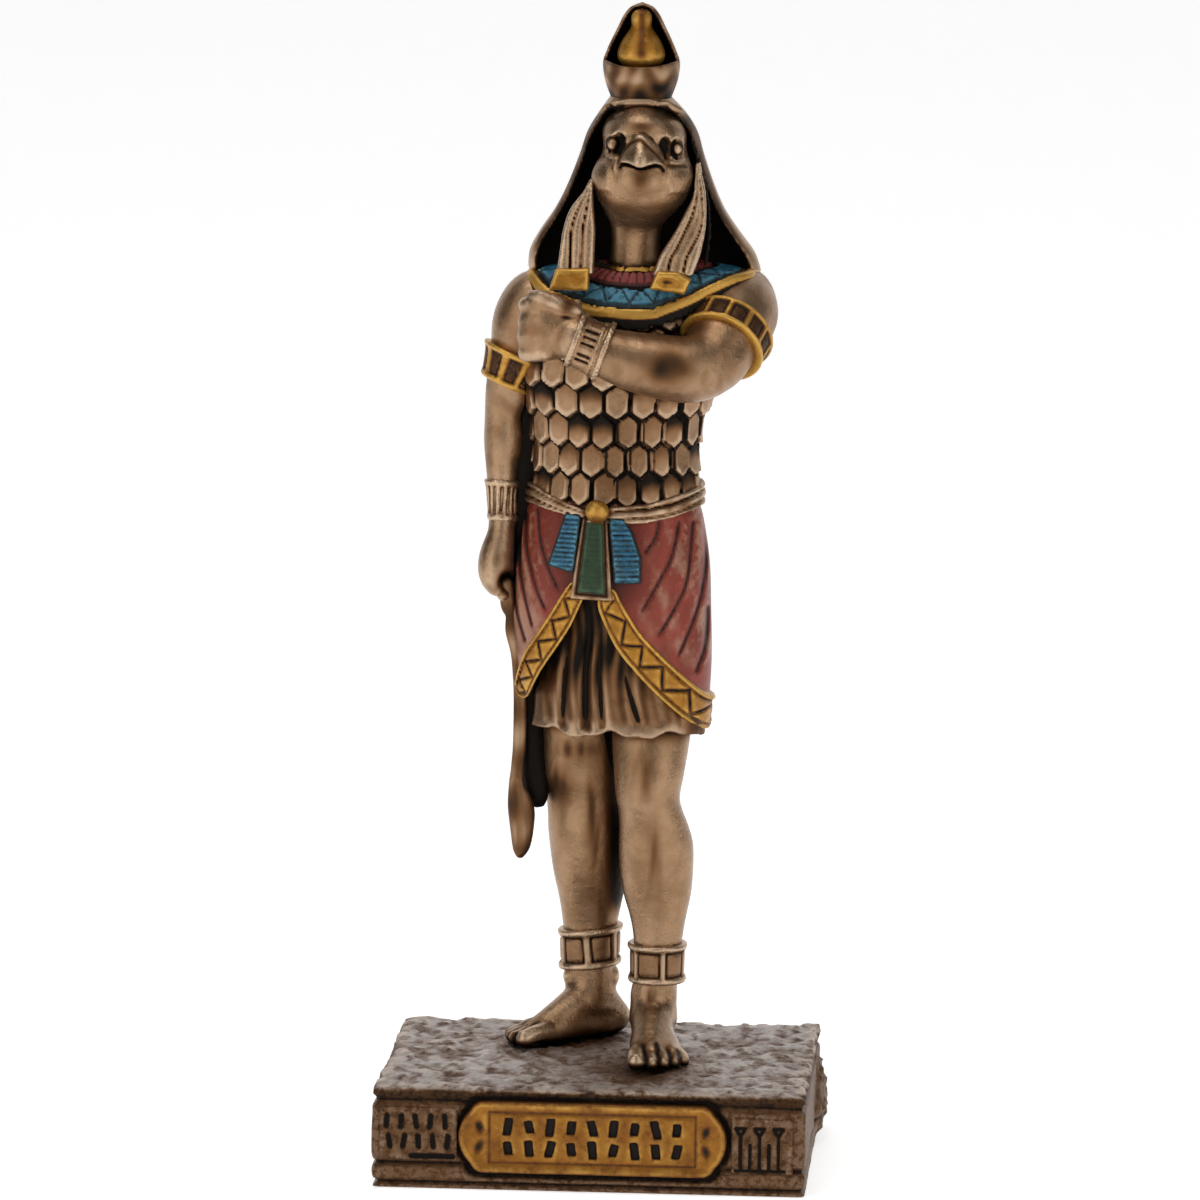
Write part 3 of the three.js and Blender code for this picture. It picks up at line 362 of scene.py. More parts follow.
CORNERS = [(i, j, k) for i in (0, 1) for j in (0, 1) for k in (0, 1)]
EDGES = [(a, b) for a in CORNERS for b in CORNERS if sum(b) - sum(a) == 1
         and all(q >= p for p, q in zip(a, b))]


def shifted(grid, corner):
    """The values at one corner of every cell of a grid."""
    return grid[tuple(slice(c, n - 1 + c) for c, n in zip(corner, grid.shape))]


def surface_vertices(field, cells):
    """In each cell the middle of the places where its edges meet the surface."""
    total = np.zeros((len(cells), 3), np.float32)
    count = np.zeros(len(cells), np.float32)
    for a, b in EDGES:
        start = field[tuple((cells + a).T)]
        end = field[tuple((cells + b).T)]
        hit = (start < 0) != (end < 0)
        t = (start[hit] / (start[hit] - end[hit]))[:, None]
        total[hit] += np.array(a) + (np.array(b) - np.array(a)) * t
        count[hit] += 1
    return cells + total / count[:, None] - 1


def surface_faces(solid, number):
    """A face through the four cells round each edge of the grid that meets the surface."""
    faces = []
    step = np.eye(3, dtype=int)
    for axis in range(3):
        one, two = (axis + 1) % 3, (axis + 2) % 3
        ahead = tuple(slice(1, None) if i == axis else slice(None) for i in range(3))
        behind = tuple(slice(None, -1) if i == axis else slice(None) for i in range(3))
        places = np.argwhere(solid[behind] != solid[ahead])
        places = places[(places[:, one] > 0) & (places[:, two] > 0)]
        leaving = solid[tuple(places.T)]
        ring = [places - step[one] - step[two], places - step[two], places, places - step[one]]
        quad = np.stack([number[tuple(corner.T)] for corner in ring], 1)
        quad[~leaving] = quad[~leaving][:, ::-1]
        faces.append(quad)
    return np.vstack(faces)


def skin(clay):
    """Vertices, in cells from the block's corner, and four-sided faces of the clay's surface."""
    field = np.pad(clay.field, 1, constant_values=FAR)
    solid = field < 0
    some = np.zeros([n - 1 for n in field.shape], bool)
    every = np.ones_like(some)
    for corner in CORNERS:
        some |= shifted(solid, corner)
        every &= shifted(solid, corner)
    crossed = some & ~every
    cells = np.argwhere(crossed)
    number = np.zeros(crossed.shape, np.int32)
    number[crossed] = np.arange(len(cells))
    return surface_vertices(field, cells), surface_faces(solid, number)


def sample(grid, places):
    """The grid's values at places given in cells, blended between neighbours."""
    places = np.clip(places, 0, np.array(grid.shape) - 1.001)
    cell = places.astype(int)
    t = (places - cell).astype(np.float32)
    value = 0
    for corner in CORNERS:
        share = np.prod([t[:, i] if c else 1 - t[:, i] for i, c in enumerate(corner)], axis=0)
        value = value + share * grid[tuple((cell + corner).T)]
    return value


def blurred(grid, half):
    """A box average over half cells to each side, done twice so that it falls off smoothly."""
    for axis in range(3):
        for _ in range(2):
            widths = [(half + 1, half) if i == axis else (0, 0) for i in range(3)]
            running = np.cumsum(np.pad(grid, widths, mode="edge"), axis=axis, dtype=np.float32)
            count = 2 * half + 1
            ahead = [slice(None)] * 3
            behind = [slice(None)] * 3
            ahead[axis] = slice(count, None)
            behind[axis] = slice(None, -count)
            grid = (running[tuple(ahead)] - running[tuple(behind)]) / count
    return grid


class Surroundings:
    """How full the space is around each point, for the dark wash that settles in recesses."""

    CELL = 0.3
    NEAR = 2  # cells to each side
    WIDE = 5
    LOW = np.array([-18.5, -15.5, -9.5])
    HIGH = np.array([19.5, 15.5, 83.5])

    def __init__(self):
        counts = ((self.HIGH - self.LOW) / self.CELL).astype(int) + 1
        self.full = np.zeros(counts, np.float32)

    def include(self, clay):
        places, lines = [], []
        for i, axis in enumerate(clay.axes):
            grid = self.LOW[i] + self.CELL * np.arange(self.full.shape[i])
            inside = (grid >= axis[0]) & (grid <= axis[-1])
            places.append(np.flatnonzero(inside))
            lines.append(np.rint((grid[inside] - axis[0]) / clay.cell).astype(int))
        share = np.clip(0.5 - clay.field[np.ix_(*lines)] / self.CELL, 0, 1)
        spot = np.ix_(*places)
        self.full[spot] = np.maximum(self.full[spot], share)

    def settle(self):
        self.near = blurred(self.full, self.NEAR)
        self.wide = blurred(self.full, self.WIDE)

    def at(self, points):
        places = (points - self.LOW) / self.CELL
        return sample(self.near, places), sample(self.wide, places)


def outward(vertices, faces):
    """The direction at each vertex that points away from the surface."""
    corners = vertices[faces]
    normal = np.cross(corners[:, 2] - corners[:, 0], corners[:, 3] - corners[:, 1])
    total = np.zeros_like(vertices)
    for i in range(4):
        np.add.at(total, faces[:, i], normal)
    return total / np.maximum(np.linalg.norm(total, axis=1, keepdims=True), 1e-9)


FINE_BLUR = 2  # cells to each side that the skin's bend is measured over
BEND_DEPTH = 4  # cells from the skin past which clay doesn't count for its bend
OFF_SKIN = 0.5  # millimetres off the skin at which the space around it is measured


def nothing(x, y, z):
    return 0 * x


def everything(x, y, z):
    return 1.0 + 0 * x


def make_mesh(name, points, faces):
    """A mesh of smooth four-sided faces, from points in the clay's millimetres."""
    mesh = bpy.data.meshes.new(name)
    mesh.vertices.add(len(points))
    placed = (points + (0, 0, SOLE_HEIGHT)) * MM
    mesh.vertices.foreach_set("co", placed.astype(np.float32).ravel())
    mesh.loops.add(faces.size)
    mesh.loops.foreach_set("vertex_index", faces.astype(np.int32).ravel())
    mesh.polygons.add(len(faces))
    mesh.polygons.foreach_set("loop_start", np.arange(len(faces), dtype=np.int32) * 4)
    mesh.polygons.foreach_set("use_smooth", np.ones(len(faces), bool))
    mesh.update(calc_edges=True)
    return mesh


def skin_bend(clay, vertices):
    """How sharply the skin bends at its vertices: above 0 on edges and below 0 in grooves."""
    depth = BEND_DEPTH * clay.cell
    close = np.clip(clay.field, -depth, depth)
    return sample(blurred(close, FINE_BLUR) - close, vertices) / clay.cell


def make_piece(name, clay, surroundings, finish, wash_and_shade=nothing, bare_and_sheen=nothing):
    """A piece in one finish, with the weights that its wash, painted shade, wear and painted highlights
    follow.
    """
    vertices, faces = skin(clay)
    points = vertices * clay.cell + np.array([axis[0] for axis in clay.axes])
    mesh = make_mesh(name, points, faces)
    near, wide = surroundings.at(points + outward(vertices, faces) * OFF_SKIN)
    layers = {
        "bend": skin_bend(clay, vertices),
        "near": near,
        "wide": wide,
        "wash_and_shade": wash_and_shade(*points.T),
        "bare_and_sheen": bare_and_sheen(*points.T),
    }
    for label, values in layers.items():
        layer = mesh.attributes.new(label, "FLOAT", "POINT")
        layer.data.foreach_set("value", values.astype(np.float32))
    material, slot = finish
    mesh.materials.append(material)
    piece = bpy.data.objects.new(name, mesh)
    bpy.context.scene.collection.objects.link(piece)
    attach(piece, "root")
    print(name, "triangles", 2 * len(faces))
    return piece


# Stations of the body, the head and the legs, as [height, x, half width, y, half depth].

TORSO = [
    [40.5, 0.4, 6.2, 4.4, 4.3],
    [43.5, 0.45, 6.25, 4.4, 4.25],
    [46.5, 0.4, 6.15, 4.35, 4.25],
    [49.5, 0.42, 6.5, 4.3, 4.45],
    [52.5, 0.6, 7.4, 4.3, 4.85],
    [55.5, 1.1, 7.9, 4.3, 5.0],
    [58.0, 1.5, 7.3, 4.35, 4.6],
    [60.2, 1.8, 5.7, 4.45, 3.8],
    [62.4, 1.9, 3.0, 4.4, 2.9],
]
OVER_KILT = [
    [43.6, 0.3, 6.4, 4.4, 4.3],
    [42.0, 0.3, 6.95, 4.4, 4.8],
    [38.5, 0.15, 7.65, 4.4, 5.5],
    [35.0, 0.1, 7.85, 4.4, 5.8],
    [31.0, 0.3, 7.75, 4.4, 5.9],
    [27.5, 0.5, 7.4, 4.4, 5.8],
    [26.0, 0.6, 7.2, 4.4, 5.7],
]
UNDER_KILT = [
    [41.0, 0.3, 6.2, 4.4, 4.2],
    [36.0, 0.25, 6.5, 4.4, 4.8],
    [30.0, 0.45, 6.3, 4.4, 4.9],
    [26.6, 0.6, 6.5, 4.4, 5.1],
    [24.9, 0.65, 6.9, 4.4, 5.4],
]
HEAD = [
    [60.5, 1.8, 2.5, 4.2, 2.9],
    [63.0, 1.8, 1.9, 3.2, 2.3],
    [64.6, 1.85, 1.95, 2.8, 2.3],
    [65.4, 2.0, 2.3, 2.5, 2.65],
    [66.2, 2.2, 2.9, 2.25, 3.1],
    [67.0, 2.3, 3.4, 2.1, 3.5],
    [67.9, 2.33, 3.75, 2.05, 3.75],
    [68.8, 2.35, 3.9, 2.1, 3.85],
    [69.6, 2.4, 3.68, 2.2, 3.85],
    [70.3, 2.48, 3.35, 2.3, 3.75],
    [71.0, 2.48, 3.2, 2.4, 3.7],
    [71.8, 2.45, 3.25, 2.5, 3.75],
    [72.4, 2.4, 3.15, 2.6, 3.75],
    [73.1, 2.36, 2.8, 2.7, 3.6],
    [73.7, 2.3, 2.1, 2.9, 3.1],
    [74.2, 2.2, 1.2, 3.0, 2.2],
]
BEAK = [
    [72.0, 2.42, 0.55, -0.75, 0.6],
    [71.7, 2.42, 0.85, -0.8, 0.85],
    [71.2, 2.42, 1.25, -0.8, 1.25],
    [70.7, 2.42, 1.55, -0.75, 1.6],
    [70.3, 2.43, 1.72, -0.7, 1.8],
    [69.9, 2.43, 1.8, -0.65, 1.9],
    [69.4, 2.43, 1.7, -0.6, 1.85],
]
NEMES = [
    [61.0, 2.4, 9.1, 5.6, 3.4],
    [62.6, 2.2, 8.75, 5.4, 3.9],
    [64.2, 2.05, 7.75, 5.1, 4.3],
    [65.9, 2.05, 6.6, 4.9, 4.5],
    [67.8, 2.1, 5.7, 4.7, 4.6],
    [70.1, 2.15, 4.85, 4.5, 4.6],
    [72.0, 2.2, 4.25, 4.2, 4.4],
    [73.5, 2.2, 3.35, 3.8, 3.7],
    [74.8, 2.05, 2.3, 3.4, 2.8],
]
FRONT_LEG = [
    [27.0, 3.6, 2.95, 3.4, 2.85],
    [25.0, 3.5, 3.05, 2.6, 2.95],
    [22.2, 3.42, 2.75, 1.8, 2.9],
    [20.3, 3.35, 2.5, 1.6, 2.75],
    [19.2, 3.55, 2.5, 1.75, 2.7],
    [18.0, 3.8, 2.68, 2.1, 2.75],
    [16.4, 3.98, 2.9, 2.5, 2.95],
    [14.4, 4.02, 2.88, 2.7, 2.85],
    [12.4, 4.1, 2.65, 2.75, 2.6],
    [10.5, 4.2, 2.18, 2.6, 2.3],
    [8.75, 4.22, 1.9, 2.4, 2.05],
    [6.0, 4.1, 1.72, 2.3, 1.9],
    [4.4, 3.95, 1.82, 2.3, 2.0],
    [2.4, 3.95, 1.75, 2.5, 2.2],
]
BACK_LEG = [
    [27.0, -2.4, 3.4, 6.0, 3.2],
    [23.5, -2.2, 3.4, 5.7, 3.0],
    [21.3, -2.05, 3.35, 5.5, 2.8],
    [19.0, -1.75, 3.1, 5.9, 2.6],
    [16.5, -1.55, 3.2, 6.5, 2.9],
    [13.5, -1.4, 3.0, 6.9, 2.75],
    [10.8, -1.4, 2.45, 7.2, 2.3],
    [8.6, -1.45, 2.1, 7.4, 2.0],
    [6.0, -1.35, 1.8, 7.6, 1.9],
    [3.6, -1.3, 1.8, 7.7, 2.0],
    [2.4, -1.3, 1.8, 7.8, 2.1],
]
# Stations of the arms, as [x, y, z, radius].
HANGING_ARM = [
    [-5.8, 4.4, 59.7, 0.9],
    [-6.1, 4.4, 58.8, 2.2],
    [-6.5, 4.4, 57.0, 2.8],
    [-7.3, 4.4, 54.6, 2.15],
    [-8.2, 4.5, 51.8, 1.62],
    [-8.35, 4.7, 49.5, 1.55],
    [-8.35, 4.7, 47.6, 1.6],
    [-8.45, 4.5, 45.7, 1.32],
    [-8.45, 4.2, 43.5, 1.1],
    [-8.35, 3.9, 41.4, 1.0],
]
RAISED_UPPER_ARM = [
    [10.3, 6.6, 59.6, 0.8],
    [10.1, 5.8, 59.2, 2.2],
    [9.75, 3.7, 58.1, 3.1],
    [9.35, 1.6, 57.1, 3.05],
    [8.85, -0.1, 56.2, 2.9],
    [8.3, -1.4, 55.2, 2.6],
    [7.8, -2.3, 54.5, 2.2],
]
CROSSING_FOREARM = [
    [9.0, -1.6, 55.1, 1.9],
    [8.0, -2.2, 54.75, 2.35],
    [5.8, -3.1, 54.45, 2.48],
    [3.5, -3.4, 54.7, 2.42],
    [1.2, -3.7, 55.25, 2.12],
    [-0.9, -3.9, 56.0, 1.75],
    [-2.4, -3.8, 56.7, 1.7],
]


def share_round(angle, a=7.2, b=4.7):
    """The share of the way round an ellipse, so that what repeats is evenly spaced."""
    steps = np.linspace(0, TAU, 181)  # every two degrees
    lengths = np.hypot(a * np.sin(steps), b * np.cos(steps))
    total = np.concatenate([[0], np.cumsum((lengths[1:] + lengths[:-1]) / 2)])
    return np.interp(np.mod(angle, TAU), steps, total / total[-1]).astype(np.float32)


SCALE_PITCH = 2.28  # from one row of scales to the next
SCALE_FIRST = 44.5  # the lowest row's height
SCALES_ROUND = 19
SCALE_PHASE = 0.16  # the share of a scale that each row is turned by
SCALE_WIDTH = 1.92
SCALE_TIP = 0.72  # the height of a scale's pointed end
SCALE_GAP = 0.07
SCALE_RISE = 0.42
CORSELET_AT = (0.65, 4.3)
CORSELET_HALVES = (7.0, 4.6)


def hashed(row, column):
    """For each scale a fixed number from 0 to 1 that looks random: the far digits of a sine."""
    mixed = np.sin(row * 12.9898 + column * 78.233) * 43758.5453
    return mixed - np.floor(mixed)


def scale_places(angle, z):
    """For the two nearest rows: the place on a scale, the depth inside it and its own chance."""
    place = (z - SCALE_FIRST) / SCALE_PITCH
    share = share_round(angle)
    for offset in (0, 1):
        row = np.floor(place) + offset
        column = share * SCALES_ROUND + SCALE_PHASE + np.mod(row, 2) * 0.5
        nearest = np.round(column)
        chance = hashed(row, np.mod(nearest, SCALES_ROUND))
        across = (column - nearest) * SCALE_WIDTH + (chance - 0.5) * 0.16
        along = (place - row) * SCALE_PITCH + (chance - 0.5) * 0.1
        side = np.abs(across) - SCALE_WIDTH / 2
        corner = SCALE_PITCH / 2 + SCALE_TIP / 2
        slant = np.abs(across) * SCALE_TIP + (np.abs(along) - corner) * SCALE_WIDTH / 2
        slant = slant / math.hypot(SCALE_TIP, SCALE_WIDTH / 2)
        inside = smooth_min(-side, -slant, 0.12) - SCALE_GAP / 2
        yield across, along, inside, chance


def scales(angle, z):
    """The height of the corselet's scales: staggered rows of long six-sided plates."""
    height = 0
    for across, along, inside, chance in scale_places(angle, z):
        plate = smooth_step(inside, 0, 0.13)
        dish = 0.08 * smooth_step(inside, 0.08, 0.4)
        lean = (chance - 0.5) * 0.18 * across - 0.11 * along
        height = np.maximum(height, plate * (SCALE_RISE - dish + lean))
    return height


def scale_wash_and_darkening(x, y, z):
    """Wash between the scales and on the upper part of each, and darker low in the middle of the corselet's
    front.
    """
    (at_x, at_y), (half_x, half_y) = CORSELET_AT, CORSELET_HALVES
    angle = np.arctan2((y - at_y) / half_y, (x - at_x) / half_x)
    clean = 0
    for across, along, inside, chance in scale_places(angle, z):
        plate = smooth_step(inside, -0.02, 0.08)
        top = smooth_step(along + 0.3 * np.abs(across), -0.5, 1.2)
        stain = 0.1 + top * (0.15 + 0.8 * smooth_step(chance, 0.35, 0.95))
        clean = np.maximum(clean, plate * (1 - np.minimum(stain, 0.9)))
    middle = 0.25 * hump((x - 1.2) / 3.6, 1) * smooth_step(52.5 - z, 0, 4)
    return np.maximum(1 - clean, (1 - clean) * 0.8 + middle)


def sculpt_corselet():
    clay = Clay((-8.2, -2.2, 42.4), (10.8, 10.4, 60.0), 0.165)
    clay.add(stack(TORSO[:-1], scales))
    return clay


# The kilts, the sash and the apron.

KILT_AT = (0.3, 4.4)
KILT_BOX = ((-9, -3, 25), (9.4, 11.4, 44))
# Curves in the front plane as [x, height]: the over-kilt's seams, then its two borders.
KILT_SEAMS = [
    [[4.05, 42.1], [3.75, 40.8], [2.92, 39.6]],
    [[5.55, 41.9], [5.1, 39.5], [4.22, 37.65], [2.71, 34.9]],
    [[6.55, 41.8], [6.27, 37.65], [5.39, 35.4], [4.0, 33.0]],
    [[7.5, 41.5], [7.52, 38.2], [7.0, 35.0], [5.54, 31.2]],
    [[7.75, 35.0], [7.6, 32.1], [6.9, 30.0]],
    [[-5.5, 42.6], [-5.23, 40.45], [-4.57, 38.5], [-3.52, 36.45]],
    [[-6.45, 42.0], [-6.42, 40.0], [-5.95, 38.05], [-5.35, 36.35], [-4.56, 34.8]],
    [[-7.0, 41.0], [-6.87, 37.85], [-6.4, 35.8], [-5.67, 33.3]],
    [[-7.4, 37.5], [-7.2, 35.06], [-6.73, 33.4], [-6.26, 32.2]],
]
LEFT_BORDER = [
    [-2.2, 36.8], [-2.65, 36.0], [-3.48, 34.4], [-4.47, 32.8], [-5.51, 31.2], [-6.14, 29.8], [-6.6, 28.5]]
RIGHT_BORDER = [
    [0.25, 36.3], [0.55, 35.4], [1.81, 33.1], [3.17, 31.45], [4.84, 29.65], [6.9, 27.6], [8.3, 26.5]]
LEFT_BORDER_HALVES = (0.75, 0.95, 0.95, 0.7)
RIGHT_BORDER_HALVES = (0.8, 1.1, 1.2, 1.15)
BORDERS = [(LEFT_BORDER, LEFT_BORDER_HALVES), (RIGHT_BORDER, RIGHT_BORDER_HALVES)]
APRON_TOP = 36.8


def front_side(y, edge=3.6):
    """1 on the figure's front, falling to 0 behind its middle."""
    return 1 - smooth_step(y, edge, edge + 1.2)


def seams(x, y, z):
    """How deep the over-kilt's seams are cut, as a relief below 0."""
    depth = 0
    for points in KILT_SEAMS:
        gap, place, _ = gap_to_curve(x, z, points)
        depth = np.maximum(depth, hump(gap, 0.15) * smooth_step(1 - place, 0, 0.1))
    return -0.2 * depth * front_side(y)


def over_kilt_wash_and_shade(x, y, z):
    """Wash in the seams and in stains, and painted shade round the pendants."""
    # painted shade round the pendants, on the front of the kilt
    middle = 0.8 * hump((x + 0.6) / 3.9, 1.0) * smooth_step(z, 34.0, 37.0)
    stains = 0.25 * smooth_step(uneven(x, y, z, 5.0), 0.2, 1.0)
    return most(-4.2 * seams(x, y, z), middle * front_side(y, 1.5), stains)


def kilt_wear_and_sheen(x, y, z):
    """Where the red is rubbed off low on the left, and painted highlights along the ridges on the right."""
    left = 0.75 * smooth_step(-x, 3.0, 6.6) * smooth_step(40.0 - z, 0, 7.0)
    # painted highlights along the ridges on the right, in the worn colour
    ridge = 0.5 + 0.5 * np.sin(2.9 * (x + 0.33 * (z - 36)) + 0.8)
    right = 0.32 * ridge * smooth_step(x, 1.5, 4.0)
    return (left + right) * front_side(y, 4.5) * (0.8 + 0.3 * uneven(x, y, z, 1.9))


def back_pleats(x, y, z):
    """Plain pleats round the back of the over-kilt."""
    angle = np.arctan2(y - KILT_AT[1], x - KILT_AT[0])
    return -0.2 * hump(teeth(angle * 22 / TAU), 0.22) * smooth_step(y, KILT_AT[1], 6.0)


def signed_gap(x, z, points):
    """The distance in the front plane from a curve, positive to the left as it is walked."""
    gap, _, side = gap_to_curve(x, z, points)
    return -gap * side


def apron_opening(x, y, z):
    """The open part of the over-kilt in front, below the two borders."""
    left = -signed_gap(x, z, LEFT_BORDER)
    right = signed_gap(x, z, RIGHT_BORDER)
    return most(left, right, z - APRON_TOP, y - KILT_AT[1])


def sculpt_over_kilt():
    clay = Clay((-9.0, -2.8, 25.0), (9.4, 11.4, 44.6), 0.19)
    clay.add(stack(OVER_KILT))
    clay.raise_skin(*KILT_BOX, seams)
    clay.raise_skin(*KILT_BOX, back_pleats)
    clay.cut(Form((-9, -3, 25), (9.4, KILT_AT[1], 37), apron_opening), 0.1)
    return clay


def on_border(x, z, points, halves):
    """Near a border: the gap to its middle line, its half width, and the place across and along."""
    gap, place, side = gap_to_curve(x, z, points)
    half = np.interp(place, np.linspace(0, 1, len(halves)), halves).astype(np.float32)
    length = np.hypot(*np.diff(np.array(points), axis=0).T).sum()
    return gap, half, gap * side / half, place * length / max(halves)


def border_lines(across, along):
    """The zigzag and the two lines beside it, each 1 on its line."""
    bent = hump(across - zigzag(along * 1.1, 1.1), 0.15) * (np.abs(across) < 0.62)
    return bent, hump(np.abs(across) - 0.68, 0.08)


def border_soot(x, y, z):
    """Wash in the borders' lines, and lighter stains beside them."""
    dark = 0.2 * smooth_step(uneven(x, y, z, 2.6), 0.0, 1.0)
    for border in BORDERS:
        gap, half, across, along = on_border(x, z, *border)
        bent, inner = border_lines(across, along)
        dark = np.maximum(dark, np.maximum(0.85 * bent, 0.6 * inner) * (gap < half))
    return dark


def border_form(points, halves):
    """A flat strip along the kilt's edge, with a rim on each side and a zigzag between them."""
    base = stack(OVER_KILT)

    def distance(x, y, z):
        gap, half, across, along = on_border(x, z, points, halves)
        rim = hump(np.abs(across) - 0.88, 0.12)
        bent, inner = border_lines(across, along)
        height = 0.36 + 0.12 * rim - 0.2 * bent - 0.16 * inner
        kilt = base.distance(x, y, z)
        return most(kilt - height, gap - half, -(kilt + 0.9))

    return Form(*box_over(points, -2.4, 4.2, max(halves)), distance)


def sculpt_borders():
    clay = Clay((-8.8, -3.2, 25.0), (9.9, 5.2, 38.4), 0.13)
    for border in BORDERS:
        clay.add(border_form(*border))
    return clay


def sash_soot(x, y, z):
    """Wash all over the sash, darker round its knot."""
    knot = 0.4 * smooth_step(1.4 - np.abs(x + 0.7), 0, 0.6) * (y < 0)
    return 0.2 + 0.25 * uneven(x, y, z, 2.4) + knot


BOSS_AT = (-0.66, 42.98)


def sculpt_boss():
    x, z = BOSS_AT
    clay = Clay((-2.0, -2.8, 41.6), (0.8, 0.9, 44.4), 0.11)
    clay.add(ball((x, -1.35, z), (0.92, 0.9, 0.92)))
    clay.add(limb([[x, -1.1, z, 0.75], [x, 0.3, z, 0.75]]), 0.1)
    return clay


def boss_shade(x, y, z):
    """Painted shade on the lower half of the gold boss."""
    return 0.5 * smooth_step(0.25 - (z - BOSS_AT[1]), 0, 0.8) * hump(x + 0.7, 1.2)


# The under-kilt's folds: curve in the front plane, depth, width.
FRONT_FOLDS = [
    ([[-5.0, 31.0], [-5.5, 28.8], [-5.4, 26.0]], 0.3, 0.4),
    ([[-3.9, 33.0], [-4.5, 29.5], [-4.3, 26.0]], 0.25, 0.4),
    ([[-2.75, 34.0], [-3.05, 30.8], [-3.2, 29.0], [-3.35, 26.0]], 0.6, 0.34),
    ([[-1.3, 36.0], [-1.25, 33.0], [-1.5, 30.0], [-1.45, 26.0]], 0.85, 0.42),
    ([[-0.3, 36.0], [-0.5, 33.2], [-0.45, 30.5], [-0.2, 26.0]], 0.55, 0.28),
    ([[0.9, 33.2], [0.85, 31.0], [1.2, 28.4]], 0.3, 0.32),
    ([[1.5, 32.0], [1.6, 30.0], [2.0, 28.4], [2.6, 26.6]], 0.5, 0.36),
    ([[3.2, 30.0], [3.6, 28.4], [4.3, 26.4]], 0.22, 0.45),
    ([[5.3, 28.6], [5.8, 27.4], [6.2, 25.4]], 0.2, 0.4),
]


def front_folds(x, y, z):
    """The under-kilt's folds in front, as a relief below 0."""
    depth = 0
    for points, fall, width in FRONT_FOLDS:
        gap, place, _ = gap_to_curve(x, z, points)
        widened = width * (0.6 + 0.5 * place)
        depth = depth + 0.75 * fall * hump(gap, widened) * smooth_step(place, 0, 0.5)
    return -depth * front_side(y, 2.0)


def back_folds(angle, z):
    """Even shallow folds round the under-kilt's back."""
    drop = smooth_step(39 - z, 0, 9)
    return -0.35 * drop * hump(teeth(angle * 24 / TAU), 0.35) * smooth_step(np.sin(angle), 0.0, 0.3)


def hem(x, y, z):
    """The space below the under-kilt's wavy hem."""
    return z - (25.35 + 0.25 * np.sin(x * 1.3 + 1) + 0.1 * np.sin(x * 2.9))


def sculpt_under_kilt():
    clay = Clay((-7.6, -2.4, 23.6), (8.8, 10.8, 38.6), 0.2)
    clay.add(stack(UNDER_KILT, back_folds))
    # The cloth over the front leg.
    clay.add(stack([
        [33.0, 3.0, 2.9, 3.4, 2.2], [29.5, 3.4, 3.4, 2.9, 2.7], [27.0, 3.8, 3.6, 2.6, 2.9],
        [24.9, 4.0, 3.7, 2.5, 3.1]]), 1.0)
    clay.raise_skin((-7, -2, 24), (8.4, 3.6, 37), front_folds)
    clay.cut(Form((-8, -3, 23), (9, 11, 26), hem), 0.2)
    clay.cut(stack([[23.0, 0.6, 5.9, 4.4, 4.5], [26.0, 0.6, 5.4, 4.4, 4.1]]), 0.3)
    return clay


def under_kilt_wash_and_shade(x, y, z):
    """A thin wash all over, and painted shade below the over-kilt's borders, in streaks down the front
    between the legs, in the folds and at the hem's right-hand corner.
    """
    front = front_side(y, 2.0)
    top = smooth_step(z, 27.5, 32.5) * front
    streaks = 0.5 + 0.5 * np.sin(x * 5.3 + 1.5 * np.sin(z * 0.7)) * np.sin(x * 2.1 + 0.4 * z)
    lip = smooth_step(z, 25.8, 26.8)
    # painted shadow under the hem's right-hand corner
    corner = 0.6 * smooth_step(x, 5.4, 6.8) * smooth_step(27.6 - z, 0, 1.0)
    folds = np.abs(front_folds(x, y, z)) * 1.3 * front
    shade = 0.2 + (0.34 + 0.24 * streaks) * top + 0.45 * lip * streaks * front
    return np.clip(most(shade, folds, corner), 0, 1)


SASH_EDGES = [
    # x, lower edge, upper edge
    [-5.9, 43.0, 44.5],
    [-4.6, 42.75, 43.95],
    [-3.1, 42.5, 43.4],
    [-1.7, 42.35, 43.0],
    [0.7, 41.92, 43.25],
    [3.0, 42.0, 43.45],
    [5.15, 42.4, 44.0],
    [7.5, 43.1, 44.65],
]


def sash_edges(x, y):
    """The sash's upper and lower edges: it sags to its knot in front and is level behind."""
    table = np.array(SASH_EDGES)
    lower, upper = (np.interp(x, table[:, 0], table[:, i]).astype(np.float32) for i in (1, 2))
    behind = smooth_step(y, 3.5, 6)
    return upper + (44.8 - upper) * behind, lower + (43.2 - lower) * behind


def sculpt_sash():
    clay = Clay((-7.6, -2.2, 41.0), (8.4, 10.6, 46.6), 0.13)
    base = stack([
        [40.5, 0.35, 7.1, 4.4, 5.0], [42.4, 0.35, 6.85, 4.4, 4.75], [44.0, 0.4, 6.5, 4.4, 4.4],
        [47.5, 0.5, 6.7, 4.4, 4.4]])

    def distance(x, y, z):
        upper, lower = sash_edges(x, y)
        middle, half = (upper + lower) / 2, (upper - lower) / 2
        across = (z - middle) / half
        drift = 0.12 * np.sin(x * 0.9)
        folds = hump(across - 0.42 - drift, 0.14) + hump(across + 0.5 - drift, 0.12)
        swell = 0.52 - 0.12 * across ** 2 - 0.24 * folds
        body = base.distance(x, y, z)
        return most(body - swell, (np.abs(z - middle) - half) * 0.9, -(body + 0.8))

    clay.add(Form((-7.4, -1.8, 41.4), (8.2, 10.2, 46.2), distance))
    return clay


